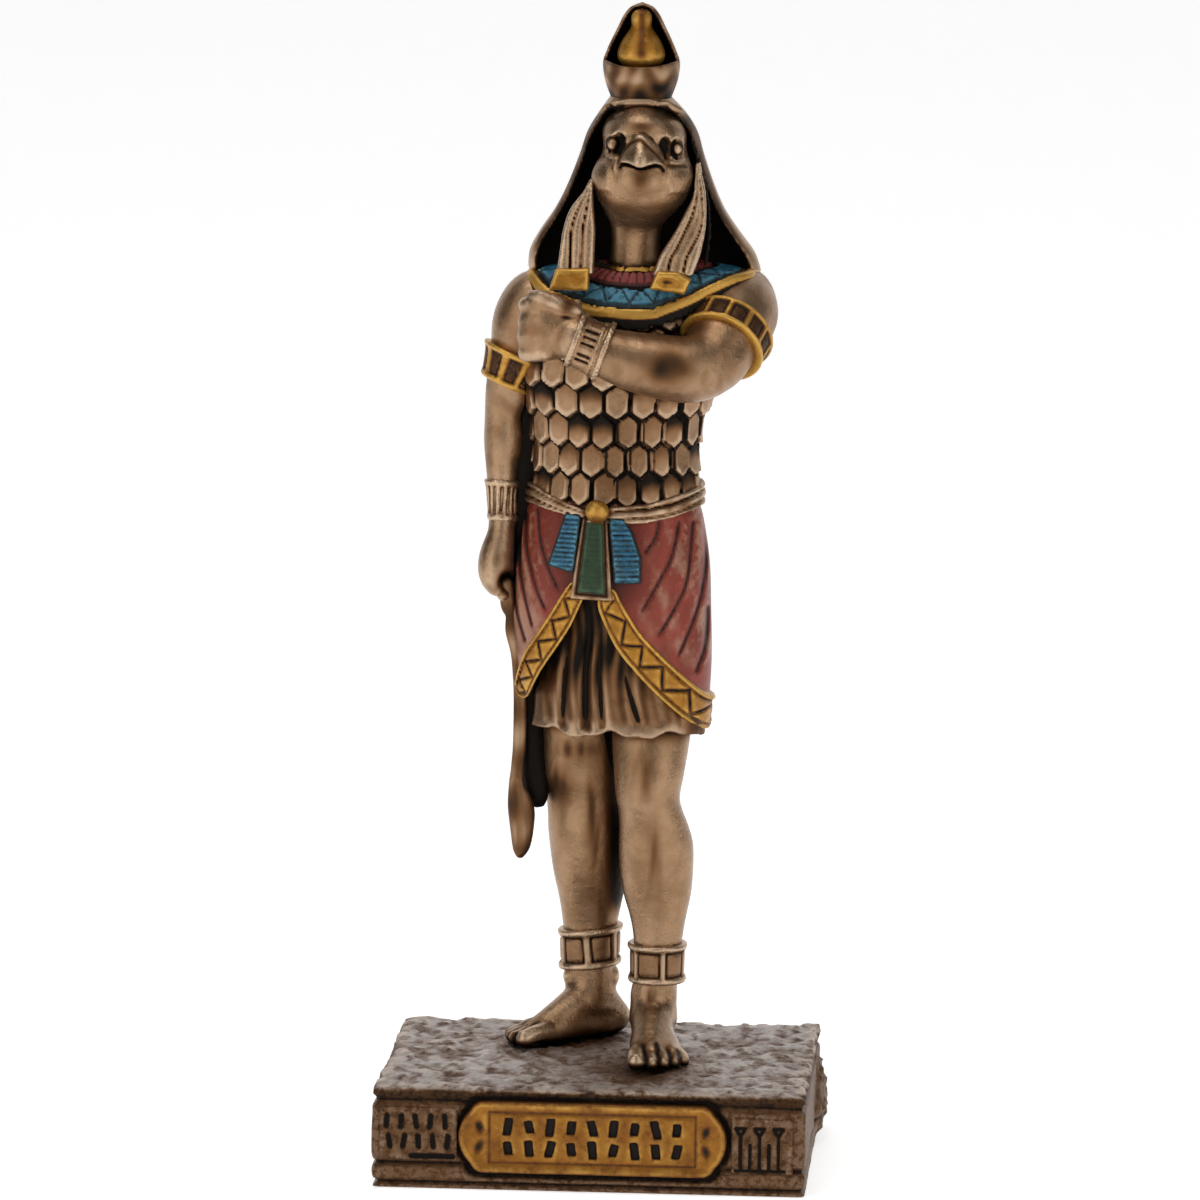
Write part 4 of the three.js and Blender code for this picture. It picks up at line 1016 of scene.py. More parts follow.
# The apron's pendants: corners in the front plane as [x, z], clockwise from the upper left.
LEFT_TONGUE = [[-3.2, 42.7], [-1.9, 42.6], [-2.4, 38.1], [-4.55, 38.6]]
RIGHT_TONGUE = [[0.15, 42.5], [1.4, 42.4], [2.05, 41.35], [2.78, 39.4], [2.82, 37.4], [0.7, 37.4]]
GREEN_TONGUE = [[-1.48, 42.3], [-0.19, 42.3], [0.1, 36.6], [-2.1, 36.7]]
FRAME_TONGUE = [[-1.8, 42.4], [0.08, 42.4], [0.66, 36.1], [-2.68, 36.2]]


PENDANT_TICKS = 13
GREEN_TICKS = 14


def tongue_height(z, corners):
    """How high on a tongue a point is, 0 at its foot and 1 at its top."""
    heights = np.array(corners)[:, 1]
    return (z - heights.min()) / (heights.max() - heights.min())


def tongue(corners, rise, ticks, tick_depth, rim):
    """A flat tongue on the kilt's front with cross ticks cut in it."""
    base = stack(OVER_KILT)

    def distance(x, y, z):
        edge = plate_edge(x, z, corners)
        height = tongue_height(z, corners)
        varied = 0.5 + 0.5 * np.sin(height * 37.0) * np.sin(height * 11.0 + x)
        inside = smooth_step(-edge, 0.1, 0.25)
        cuts = hump(teeth(height * ticks), 0.34) * inside * (0.45 + 0.55 * varied)
        raised = rim * hump(edge + 0.16, 0.12)
        face = base.distance(x, y, z) - rise + tick_depth * cuts - raised
        return smooth_max(face, edge, 0.1)

    return Form(*box_over(corners, -3.0, 1.0), distance)


def sculpt_tongues(corner_sets, rise, ticks, depth, rim=0.0):
    clay = Clay((-5.2, -3.2, 35.6), (3.6, 2.0, 43.6), 0.12)
    for corners in corner_sets:
        clay.add(tongue(corners, rise, ticks, depth, rim))
    return clay


def pendant_soot(x, y, z):
    """Wash round the blue pendants and in their ticks."""
    dark = 0.0
    for corners in (LEFT_TONGUE, RIGHT_TONGUE):
        edge = plate_edge(x, z, corners)
        step = teeth(tongue_height(z, corners) * PENDANT_TICKS)
        ticks = 0.55 * hump(step, 0.3) * smooth_step(-edge, 0.15, 0.3)
        rim = 0.75 * smooth_step(edge, -0.24, -0.06)
        dark = np.maximum(dark, np.maximum(ticks, rim) * (edge < 0.3))
    return dark


def frame_soot(x, y, z):
    """Wash in the line between the green pendant and its frame."""
    inner = hump(plate_edge(x, z, GREEN_TONGUE) - 0.08, 0.16)
    return np.maximum(0.95 * inner, 0.3 + 0.15 * uneven(x, y, z, 1.7))


def green_soot(x, y, z):
    """Wash along the green pendant's edge and in stains on it."""
    edge = 0.9 * smooth_step(plate_edge(x, z, GREEN_TONGUE), -0.16, 0.0)
    return edge + 0.15 * (1 + uneven(x, y, z, 1.9))


# The collar.

COLLAR_RIM = [
    # how far to the side, and the height of the collar's rim there
    [-1.0, 60.8], [-0.9, 60.0], [-0.81, 59.4], [-0.4, 58.35], [0.0, 58.15], [0.17, 58.25], [0.48, 59.35],
    [0.61, 59.95], [0.74, 60.5], [0.86, 60.9], [1.0, 61.1],
]


COLLAR_AT = (2.1, 4.1)
SHARE_STEPS = 6  # how often the share is bettered


def collar_share(x, y):
    """How far out on the collar a point is, 0 at the neck and 1 at the rim, and its angle."""
    dx, dy = x - COLLAR_AT[0], y - COLLAR_AT[1]
    reach = np.where(dx > 0, 6.3, 6.1).astype(np.float32)
    share = np.full(np.broadcast_shapes(dx.shape, dy.shape), 0.5, np.float32)
    for _ in range(SHARE_STEPS):
        a, b = 2.7 + reach * share, 3.3 + 2.2 * share
        share = share + (np.sqrt((dx / a) ** 2 + (dy / b) ** 2) - 1) * 1.1
        share = np.clip(share, -0.4, 1.6)
    a, b = 2.7 + reach * share, 3.3 + 2.2 * share
    return share, np.arctan2(dy / b, dx / a)


COLLAR_PARTS = {
    # inner and outer share, height, thickness
    "gold": [(0.13, 0.19, 0.2, 1.1), (0.89, 1.0, 0.36, 1.1)],
    "rows": [(0.05, 0.9, -0.12, 0.7)],
    "red": [(0.22, 0.47, 0.26, 1.0)],
    "blue": [(0.54, 0.83, 0.3, 1.0)],
}


def collar_cuts(across, angle, ticks):
    """1 in the cuts of a band: bars across it or a zigzag along it."""
    turn = share_round(angle, 6, 4.6) * 46
    if ticks == "bars":
        return hump(teeth(turn), 0.2)
    if ticks == "zigzag":
        return hump(across - zigzag(turn, 1.6), 0.2)
    return 0


def collar_base(share, angle):
    """The height of the collar's bed, falling from the neck to its rim."""
    rim = np.array(COLLAR_RIM)
    aside = np.cos(angle)
    edge = np.interp(aside, rim[:, 0], rim[:, 1]).astype(np.float32)
    neck = 62.15 - 0.1 * aside ** 2
    return neck + (edge - neck) * np.maximum(share, 0) ** 1.15


def across_band(share, inner, outer):
    """The place across a band, -1 on its inner edge and 1 on its outer edge."""
    return (share - (inner + outer) / 2) / ((outer - inner) / 2)


def collar_form(inner, outer, rise, thickness, ticks):
    """One band of the collar, lying on its bed."""
    def distance(x, y, z):
        share, angle = collar_share(x, y)
        base = collar_base(share, angle)
        across = across_band(share, inner, outer)
        cuts = 0.14 * collar_cuts(across, angle, ticks)
        roundness = 0.1 * across ** 2
        face = (z - base - rise * 0.8 + cuts + roundness) * 0.8
        band = (np.abs(across) - 1) * (outer - inner) / 2 * 5.2
        return np.maximum(smooth_max(face, band, 0.1), (base - thickness - z) * 0.8)

    return Form((-7.6, -2.0, 56.2), (11.7, 10.2, 63.4), distance)


def sculpt_collar(bands, ticks, cell=0.145):
    clay = Clay((-7.8, -2.4, 56.2), (11.9, 10.6, 63.8), cell)
    for inner, outer, rise, thickness in bands:
        clay.add(collar_form(inner, outer, rise, thickness, ticks))
    return clay


def collar_gold_shade(x, y, z):
    """Painted shade on the lower walls of the collar's gold bands, as the shadow below them, and round the
    sides of the neck.
    """
    share, angle = collar_share(x, y)
    below = smooth_step(collar_base(share, angle) - 0.12 - z, 0, 0.2)
    beside = (share < 0.4) * smooth_step(np.abs(np.cos(angle)), 0.25, 0.6)
    return np.maximum(below, 0.8 * beside)


def collar_soot(part, ticks, strength):
    """Wash in the cuts of a band and along its edges."""
    inner, outer = COLLAR_PARTS[part][0][:2]

    def wash_and_shade(x, y, z):
        share, angle = collar_share(x, y)
        across = across_band(share, inner, outer)
        edges = smooth_step(np.abs(across), 0.75, 1.0)
        return strength * np.maximum(collar_cuts(across, angle, ticks), 0.8 * edges)

    return wash_and_shade


# The head, its cloth and its crown.

FACE_LINES = [
    # curve in the front plane, height, width
    ([[0.35, 69.5], [0.41, 70.2], [0.9, 71.2], [1.47, 71.8], [2.1, 72.1], [2.7, 71.95], [3.33, 71.45],
      [3.91, 70.9], [4.42, 70.25], [4.5, 69.5]], 0.1, 0.15),
    ([[0.78, 70.3], [1.25, 71.1], [1.8, 71.6], [2.4, 71.8], [3.0, 71.3], [3.6, 70.7], [4.1, 70.1]],
     -0.05, 0.1),
    ([[0.8, 69.6], [0.95, 69.88], [1.33, 69.96], [1.83, 69.84], [2.4, 69.64], [2.97, 69.78], [3.54, 69.92],
      [3.97, 69.72], [4.15, 69.4]], -0.16, 0.09),
    ([[-0.41, 70.73], [-0.2, 70.42], [0.21, 70.4], [0.56, 70.53]], 0.14, 0.13),
    ([[-0.45, 71.3], [-0.2, 71.95], [0.25, 72.1], [0.7, 71.9]], 0.08, 0.13),
    ([[4.5, 71.55], [4.95, 72.0], [5.45, 71.75], [5.6, 70.85]], 0.12, 0.14),
    ([[4.8, 70.05], [5.29, 70.03], [5.65, 70.17]], 0.12, 0.13),
    ([[4.45, 69.85], [5.22, 69.68], [5.8, 69.6]], -0.07, 0.12),
]
CHEEK_PLATES = [
    [[-1.6, 70.2], [-0.2, 70.1], [0.05, 69.3], [0.15, 68.4], [0.1, 67.7], [-1.0, 67.6], [-1.9, 68.6]],
    [[4.75, 69.75], [6.6, 69.5], [6.6, 68.4], [5.9, 67.5], [4.6, 67.6], [4.25, 68.6], [4.45, 69.2]],
]
MOUTH = [
    [0.3, 69.0], [0.69, 69.4], [0.9, 69.9], [1.33, 69.98], [1.83, 69.88], [2.4, 69.72], [2.97, 69.83],
    [3.54, 69.95], [3.97, 69.74], [4.3, 69.0],
]


def face_lines(x, y, z):
    """The relief of the face: its lines and the plates of its cheeks."""
    height = 0
    for points, rise, width in FACE_LINES:
        gap, _, _ = gap_to_curve(x, z, points)
        height = height + rise * hump(gap, width)
    for corners in CHEEK_PLATES:
        height = height + 0.13 * smooth_step(-plate_edge(x, z, corners), -0.2, 0.3)
    return height * (1 - smooth_step(y, 0.8, 2.0))


def upper_beak():
    """The hooked upper bill, its under edge following the line of the mouth."""
    body = stack(BEAK)
    hook = limb([
        [2.42, -1.3, 71.6, 0.4], [2.42, -1.95, 70.9, 0.55], [2.42, -2.45, 70.2, 0.55],
        [2.41, -2.7, 69.7, 0.35]])
    line = np.array(MOUTH)

    def distance(x, y, z):
        bill = smooth_min(body.distance(x, y, z), hook.distance(x, y, z), 0.7)
        edge = np.interp(x, line[:, 0], line[:, 1]).astype(np.float32)
        return smooth_max(bill, edge - z, 0.12)

    return Form((0.6, -3.4, 69.0), (4.2, 1.2, 72.2), distance)


# Round forms of the face: centre, radii, softness.
EYE_SOCKETS = [
    ((0.5, -0.75, 71.3), (0.85, 0.9, 1.02), 0.12), ((-0.3, 0.1, 71.25), (0.45, 0.5, 0.8), 0.15),
    ((4.3, -0.75, 71.1), (0.6, 0.8, 0.95), 0.15), ((5.1, 0.0, 71.0), (0.55, 0.45, 0.85), 0.15),
]
EYEBALLS = [((0.18, 0.2, 71.32), (0.45, 0.62, 0.56), 0.05), ((5.07, 0.62, 70.98), (0.38, 0.66, 0.62), 0.05)]
PUPILS = [((0.2, -0.42, 71.38), (0.13, 0.16, 0.17), 0.08), ((5.1, -0.04, 71.0), (0.1, 0.14, 0.16), 0.08)]


def sculpt_head():
    clay = Clay((-2.6, -4.6, 61.0), (7.2, 7.4, 75.0), 0.118)
    clay.add(stack(HEAD))
    clay.add(ball((2.43, -0.75, 68.6), (1.75, 1.25, 1.1)), 0.5)
    for centre, radii, soft in EYE_SOCKETS:
        clay.cut(ball(centre, radii), soft)
    clay.add(upper_beak(), 0.18)
    for centre, radii, soft in EYEBALLS:
        clay.add(ball(centre, radii), soft)
    for centre, radii, soft in PUPILS:
        clay.cut(ball(centre, radii), soft)
    clay.raise_skin((-2, -4, 66), (7, 2.0, 73.6), face_lines)
    return clay


# Painted shade on the face: x, height, half width, half height, strength.
FACE_SHADE = [
    (0.72, 71.1, 0.5, 0.8, 0.95), (4.28, 71.05, 0.5, 0.75, 0.95), (2.43, 68.7, 0.8, 1.0, 0.62),
    (2.4, 72.75, 1.1, 0.45, 0.6), (0.75, 69.9, 0.25, 0.8, 0.6), (4.4, 69.9, 0.25, 0.6, 0.6),
    (1.0, 66.4, 1.1, 0.5, 0.35), (3.6, 66.6, 1.0, 0.5, 0.35),
]
# Rings of painted shade round the eyes: x, height, radius.
EYE_RINGS = [(0.14, 71.3, 0.5), (5.12, 70.98, 0.46)]


def painted_spots(x, z, spots, ragged=1.0):
    """Soft spots of shade: x, height, half width, half height and strength of each."""
    shade = 0.0
    for spot_x, spot_z, half_x, half_z, strength in spots:
        gap = np.hypot((x - spot_x) / half_x, (z - spot_z) / half_z)
        shade = np.maximum(shade, strength * ragged * hump(gap, 1.0))
    return shade


def head_shade(x, y, z):
    """Painted shade in the eye sockets, round the eyes, under the bill, on the head's back and sides inside
    the hood and on the neck behind the lappets, and wash in the face's grooves.
    """
    shade = painted_spots(x, z, FACE_SHADE)
    for eye_x, eye_z, radius in EYE_RINGS:
        shade = np.maximum(shade, 0.9 * hump(np.hypot(x - eye_x, z - eye_z) - radius, 0.15))
    for points, rise, width in FACE_LINES:
        if rise < 0:
            shade = np.maximum(shade, 0.75 * hump(gap_to_curve(x, z, points)[0], width + 0.03))
    back = smooth_step(y, 1.5, 3.5)
    neck = smooth_step(66.0 - z, 0, 1.4) * (0.1 + 0.9 * smooth_step(np.abs(x - 1.9), 1.2, 2.0))
    edge = smooth_step(np.abs(x - 2.4), 2.6, 3.4) * smooth_step(z, 71.0, 73.0)
    return most(shade * (y < 0.8), 0.9 * back, 0.75 * neck, 0.4 * edge)


def hood_stripes(angle, z):
    """The grooves between the headcloth's stripes, as a relief below 0."""
    return -0.16 * hump(teeth(angle * 26 / TAU), 0.22) * smooth_step(np.sin(angle), 0.15, 0.5)


def hood_hollow():
    """The space that opens to the front between the cloth and the head."""
    rows = [[z - 0.4, x, a - 0.3, y - 2.5, b] for z, x, a, y, b in NEMES]
    return stack([[56.0, 2.4, 8.8, 3.0, 3.4]] + rows)


def sculpt_hood():
    clay = Clay((-8.2, -2.6, 60.0), (13.2, 10.4, 76.2), 0.21)
    clay.add(stack(NEMES, hood_stripes))
    clay.cut(hood_hollow(), 0.1)
    clay.add(limb([
        [-1.1, 2.4, 72.9, 0.16], [-0.5, 1.3, 73.9, 0.28], [0.35, 0.85, 74.35, 0.24],
        [2.2, 0.75, 74.42, 0.22], [3.1, 0.85, 74.42, 0.24], [4.4, 1.1, 74.15, 0.3],
        [5.0, 1.7, 73.6, 0.3], [5.6, 2.6, 72.7, 0.16]]), 0.15)
    for rows in ([[-0.45, 1.1, 74.0, 0.2], [0.07, 0.85, 74.2, 0.3], [0.7, 0.7, 74.12, 0.16]],
                 [[3.4, 0.7, 74.25, 0.16], [4.3, 0.75, 74.25, 0.38], [5.25, 1.1, 73.85, 0.25]]):
        clay.add(limb(rows), 0.08)
    clay.add(limb([
        [6.0, 2.4, 71.9, 0.14], [6.35, 2.2, 70.6, 0.16], [6.95, 1.8, 68.8, 0.18],
        [7.45, 1.2, 66.8, 0.18], [7.6, 0.5, 64.3, 0.18], [7.4, -0.1, 62.2, 0.18]]), 0.05)
    return clay


def hood_shade(x, y, z):
    """Painted shade all over the hood's inside, and on its front part, less on its top."""
    inside = hood_hollow().distance(x, y, z)
    # painted shade on the hood's front part
    rim = smooth_step(4.8 - y, 0, 1.2) * (0.66 + 0.16 * uneven(x, y, z, 4.0))
    rim = rim * (1 - 0.6 * smooth_step(z, 73.0, 73.9))
    return np.maximum(smooth_step(0.2 - inside, 0, 0.12) * (z < 74.2), rim)


# The lappets, as [height, front, edges of the locks from left to right].
LEFT_LAPPET = [
    [68.5, 0.6, -1.56, -1.52, -1.47, -1.42],
    [67.5, 0.1, -2.15, -1.85, -1.58, -1.38],
    [66.2, -0.4, -3.1, -2.52, -1.82, -1.25],
    [64.75, -0.85, -3.57, -2.92, -2.06, -1.1],
    [63.4, -1.25, -3.76, -2.96, -2.09, -1.09],
    [61.4, -1.6, -3.98, -2.95, -2.14, -1.14],
]
RIGHT_LAPPET = [
    [69.8, 1.2, 6.5, 6.58, 6.66, 6.75],
    [68.4, 0.7, 6.45, 6.58, 6.82, 7.12],
    [67.3, 0.2, 6.3, 6.6, 7.02, 7.34],
    [65.9, -0.3, 5.66, 6.32, 7.15, 7.4],
    [64.7, -0.7, 5.03, 5.8, 6.95, 7.36],
    [63.5, -1.1, 4.3, 5.25, 6.35, 7.15],
    [62.7, -1.35, 3.85, 4.79, 5.98, 6.97],
    [61.4, -1.6, 3.4, 4.52, 5.72, 6.5],
]
LEFT_END = [[-4.0, 61.8], [-1.4, 61.9], [-1.5, 60.15], [-4.5, 60.2]]
RIGHT_END = [[3.8, 61.75], [5.4, 61.75], [6.38, 61.15], [5.9, 59.95], [3.2, 60.35]]


LAPPET_DEPTH = 0.75


def sculpt_lappets():
    clay = Clay((-4.8, -2.6, 60.6), (8.6, 3.4, 70.6), 0.115)
    for rows in (LEFT_LAPPET, RIGHT_LAPPET):
        clay.add(strands(rows, LAPPET_DEPTH))
    return clay


def sculpt_lappet_ends():
    clay = Clay((-5.4, -3.0, 59.0), (7.4, 1.2, 62.8), 0.11)
    clay.add(prism(LEFT_END, -2.15, -0.3, 0.35))
    clay.add(prism(RIGHT_END, -2.2, -0.3, 0.45))
    clay.cut(ball((4.5, -2.5, 60.9), (0.9, 0.45, 0.5)), 0.2)
    clay.raise_skin((-5, -3, 59), (7, 1, 62.6), lambda x, y, z: 0.06 * rough(x, y, z, 0.9, 5))
    return clay


CROWN_AT = (2.1, 3.2)
CROWN_OUTSIDE = [
    [73.2, 2.1], [73.9, 2.15], [74.7, 2.35], [75.5, 2.65], [76.3, 2.88], [77.4, 2.97], [78.2, 2.72],
    [79.0, 2.38], [80.2, 1.8], [81.1, 1.35], [81.7, 0.8], [82.0, 0.05],
]
CROWN_WALL = 0.3
BULB_AT = (2.1, 2.7)
CROWN_BULB = [
    [76.2, 0.9], [76.8, 1.2], [77.25, 1.5], [77.6, 1.76], [78.1, 1.84], [78.6, 1.7], [79.15, 1.45],
    [79.63, 1.12], [80.0, 0.86], [80.25, 0.78], [80.55, 0.8], [80.9, 0.8], [81.25, 0.66], [81.45, 0.4],
    [81.55, 0.05],
]


def sculpt_crown():
    """A tall cap, hollow and open in front above the rim of its bowl."""
    clay = Clay((-1.6, -0.6, 73.0), (5.8, 7.0, 82.6), 0.14)
    outside = turned(CROWN_OUTSIDE, CROWN_AT)

    def hollow(x, y, z):
        return most(outside.distance(x, y, z) + CROWN_WALL, 76.3 - z, z - 81.6)

    def opening(x, y, z):
        rim = 77.2 + 0.45 * ((x - CROWN_AT[0]) / 2.9) ** 2
        return np.maximum(y - 2.7, rim - z)

    clay.add(outside)
    clay.cut(Form((-1, 0.2, 76.2), (5.2, 6.2, 81.7), hollow), 0.05)
    clay.cut(Form((-1.2, -0.4, 77.2), (5.4, 2.7, 82.4), opening), 0.12)
    return clay


def crown_shade_and_blots(x, y, z):
    """Painted shade inside the crown, and dark blots on its bowl, darker towards its foot."""
    radius = np.interp(z, *np.array(CROWN_OUTSIDE).T)
    inside = np.hypot(x - CROWN_AT[0], y - CROWN_AT[1]) < radius - CROWN_WALL / 2
    right_blot = hump(np.hypot(x - 3.6, (z - 75.6) * 1.3), 0.8)
    left_blot = 0.7 * hump(np.hypot(x - 0.2, z - 76.6), 0.5)
    patches = 0.42 + 0.2 * uneven(x, y, z, 2.2) + 0.3 * smooth_step(76.2 - z, 0, 1.5)
    patches = patches + 0.4 * (right_blot + left_blot)
    return np.clip(np.maximum(0.9 * inside * (z > 76.6), patches), 0, 1)


def sculpt_bulb():
    clay = Clay((-0.4, 0.2, 75.8), (4.8, 5.2, 82.2), 0.14)
    clay.add(turned(CROWN_BULB, BULB_AT))
    return clay


def bulb_streak_and_shade(x, y, z):
    """A dark streak down the bulb's front, and painted shade round its foot, where it stands in the crown.
    """
    streak = 0.6 * hump((x - 2.2) / 0.42, 1.0) * smooth_step(z, 77.3, 78.2) * (y < BULB_AT[1])
    return np.maximum(streak, 0.6 * smooth_step(77.6 - z, 0, 0.7))


# Limbs.

ARM_SQUASH = (1, 1.15, 1)
KNUCKLE_COUNT = 4


def sculpt_hanging_hand(clay):
    """A mitten closed round the sword, its palm facing the kilt."""
    clay.add(limb([
        [-8.35, 3.9, 41.6, 0.95], [-8.45, 3.6, 40.2, 1.15], [-8.7, 3.3, 38.6, 1.45],
        [-8.75, 3.1, 37.4, 1.4], [-8.7, 2.9, 36.5, 0.9]], (1, 1.2, 1)), 0.4)
    clay.cut(ball((-7.75, 1.9, 36.9), (0.7, 1.2, 0.75)), 0.3)
    clay.add(ball((-8.15, 2.3, 35.75), (0.5, 0.7, 0.42)), 0.15)
    for up in (37.9, 37.2, 36.6):
        crease = [[-9.6, 1.6, up + 0.15, 0.07], [-8.7, 1.2, up, 0.1], [-8.2, 1.3, up, 0.07]]
        clay.cut(limb(crease), 0.15)


def sculpt_fist(clay):
    """The fist on the breast, its back to the viewer."""
    clay.add(ball((-4.3, -3.3, 57.5), (2.25, 1.55, 2.65), (0, 14, 0)), 0.5)
    clay.add(ball((-5.3, -3.0, 57.1), (1.3, 1.4, 2.1), (0, 6, 0)), 0.4)
    for i in range(KNUCKLE_COUNT):
        up = 59.3 - 1.25 * i
        finger = [[-4.9, -4.0, up, 0.62], [-6.0, -3.3, up - 0.15, 0.66], [-6.2, -2.3, up - 0.2, 0.55]]
        clay.add(limb(finger), 0.45)
    clay.add(limb([
        [-2.3, -3.9, 58.75, 0.6], [-3.6, -4.35, 59.35, 0.62], [-4.8, -4.25, 59.85, 0.56],
        [-5.6, -3.7, 59.95, 0.42]]), 0.25)
    clay.add(ball((-2.25, -3.3, 59.25), (0.45, 0.45, 0.45)), 0.1)
    clay.cut(limb([[-4.9, -5.15, 58.25, 0.16], [-3.7, -5.25, 58.5, 0.2], [-2.6, -5.0, 58.55, 0.16]]), 0.3)


def sculpt_arms():
    clay = Clay((-11.0, -7.0, 34.6), (13.4, 9.6, 62.4), 0.2)
    clay.add(limb(HANGING_ARM, ARM_SQUASH))
    clay.add(ball((-7.7, 4.0, 52.4), (1.6, 1.7, 2.6)), 0.6)
    clay.add(limb([[-5.6, 4.4, 58.2, 1.8], [-3.6, 4.4, 58.4, 1.6]]), 1.0)
    sculpt_hanging_hand(clay)
    clay.add(limb(RAISED_UPPER_ARM))
    clay.add(ball((9.6, 3.2, 58.0), (3.0, 3.4, 2.7)), 0.6)
    clay.add(limb(CROSSING_FOREARM), 0.35)
    clay.add(ball((6.0, -3.4, 54.2), (3.2, 2.3, 2.1), (0, 12, 0)), 0.8)
    sculpt_fist(clay)
    return clay


# Painted shade on the arms, and in the second spot a painted dark reflection on the crossing forearm: x,
# height, half width, half height, strength.
ARM_SHADE = [
    (-7.75, 36.9, 0.95, 1.2, 0.95), (4.9, 54.8, 2.0, 1.45, 0.85), (-6.0, 51.4, 0.9, 3.0, 0.6),
    (-2.9, 59.2, 0.7, 0.6, 0.7), (-7.6, 57.0, 1.0, 2.4, 0.3), (7.2, 57.6, 0.9, 0.8, 0.5),
    (-2.6, 54.2, 1.6, 0.5, 0.6),
]


def arm_shade_and_stains(x, y, z):
    """Painted shade in the hand's hollow, beside the body and under the crossing forearm, a painted dark
    reflection on the forearm, and stains on the arms.
    """
    shade = painted_spots(x, z, ARM_SHADE, 1 + 0.15 * uneven(x, y, z, 3.0))
    stains = 0.1 + 0.22 * smooth_step(uneven(x, y, z, 3.3), 0.2, 1.0)
    return np.clip(np.maximum(shade, stains), 0, 1)


LIMB_RADIUS = 2.4  # about the radius that a ring's panels are spaced on
RING_REACH = 4.6  # how far from its centre a ring is modelled
RING_WASH_REACH = 5.2


def ring_pattern(centre, axis, half, panels, share=0.62, start=0.5):
    """A function to a point's place along a ring's axis and its distance from the nearest panel."""
    axis = Vector(axis).normalized()
    aside = Vector((0, -1, 0))
    aside = (aside - axis * axis.dot(aside)).normalized()
    other = axis.cross(aside)
    pitch = TAU * LIMB_RADIUS / panels

    def pattern(x, y, z):
        dx, dy, dz = x - centre[0], y - centre[1], z - centre[2]
        along = dx * axis.x + dy * axis.y + dz * axis.z
        u = dx * aside.x + dy * aside.y + dz * aside.z
        v = dx * other.x + dy * other.y + dz * other.z
        cell = teeth(np.arctan2(v, u) / TAU * panels + start)
        return along, np.maximum((cell - share) * pitch / 2, np.abs(along) - 0.6 * half)

    return pattern


def ring_on(form, rise, depth, centre, axis, half, *pattern):
    """A band round a limb: two rims, and outlined panels between them, counted from the front."""
    places = ring_pattern(centre, axis, half, *pattern)

    def distance(x, y, z):
        along, edge = places(x, y, z)
        panel = depth * (0.4 * smooth_step(-edge, 0, 0.12) + hump(edge, 0.1))
        rim = hump(np.abs(along) - half * 0.86, half * 0.18)
        face = form.distance(x, y, z) - rise - 0.1 * rim + panel
        return smooth_max(face, np.abs(along) - half, 0.15)

    return Form(*box_around(centre, [RING_REACH] * 3), distance)


def ring_soot(rings, strength):
    """Wash in the panels of the rings and in their outlines."""
    def wash_and_shade(x, y, z):
        dark = 0.0
        for centre, axis, half, *pattern in rings:
            along, edge = ring_pattern(centre, axis, half, *pattern)(x, y, z)
            away = np.sqrt(sum((line - c) ** 2 for line, c in zip((x, y, z), centre)))
            panel = np.maximum(strength * smooth_step(-edge, 0, 0.15), 0.9 * hump(edge, 0.12))
            inside = (away < RING_WASH_REACH) & (np.abs(along) < half)
            dark = np.maximum(dark, panel * inside)
        return dark

    return wash_and_shade


# Each ring: centre, axis, half its width, panels, their share of the round, where they start.
HANGING_ARMBAND = ((-7.6, 4.4, 53.2), (0.4, 0.05, 0.92), 1.35, 10, 0.5)
RAISED_ARMBAND = ((8.95, 0.3, 56.45), (0.3, 0.76, 0.56), 1.15, 12, 0.62)
WRIST_CUFF = ((-8.4, 4.1, 43.0), (0.05, 0.1, 1), 1.6, 14, 0.2)
FRONT_ANKLET = ((4.2, 2.3, 7.06), (0, 0, 1), 1.55, 6, 0.76, 0.76)
BACK_ANKLET = ((-1.45, 7.45, 7.2), (-0.1, 0, 1), 1.6, 6, 0.7, 0.02)
BRACELET_AXIS = (0.94, 0.0, -0.34)
BRACELET_AT = (-1.35, 56.15)
# The bracelet's parts: x, height, half width, rise above the arm.
BRACELET_PARTS = [
    (-1.2, 56.1, 1.4, 0.32), (-2.3, 56.5, 0.22, 0.5), (-0.1, 55.72, 0.2, 0.5), (-0.62, 55.9, 0.12, 0.42),
]


def sculpt_armbands():
    clay = Clay((-12.4, -4.6, 48.0), (14.4, 9.6, 62.4), 0.15)
    clay.add(ring_on(limb(HANGING_ARM, ARM_SQUASH), 0.45, 0.2, *HANGING_ARMBAND))
    clay.add(ring_on(limb(RAISED_UPPER_ARM), 0.5, 0.2, *RAISED_ARMBAND))
    return clay


def bracelet_ticks(x, y, z):
    """Short level cuts on the bracelet's front, three above its middle and two below."""
    axis = Vector(BRACELET_AXIS).normalized()
    dx, dz = x - BRACELET_AT[0], z - BRACELET_AT[1]
    along = dx * axis.x + dz * axis.z
    up = dz * axis.x - dx * axis.z
    cuts = 0.0
    for level in (1.3, 0.8, 0.3, -0.6, -1.05):
        cuts = np.maximum(cuts, hump(up - level, 0.12))
    return -0.2 * cuts * smooth_step(0.62 - np.abs(along), 0, 0.15) * (y < -4.2)


def cuff_soot(x, y, z):
    """Wash in the wrist cuff's slots and the bracelet's cuts."""
    slots = ring_soot((WRIST_CUFF,), 0.8)(x, y, z)
    return np.maximum(slots, np.where(x > -4, -4.5 * bracelet_ticks(x, y, z), 0))


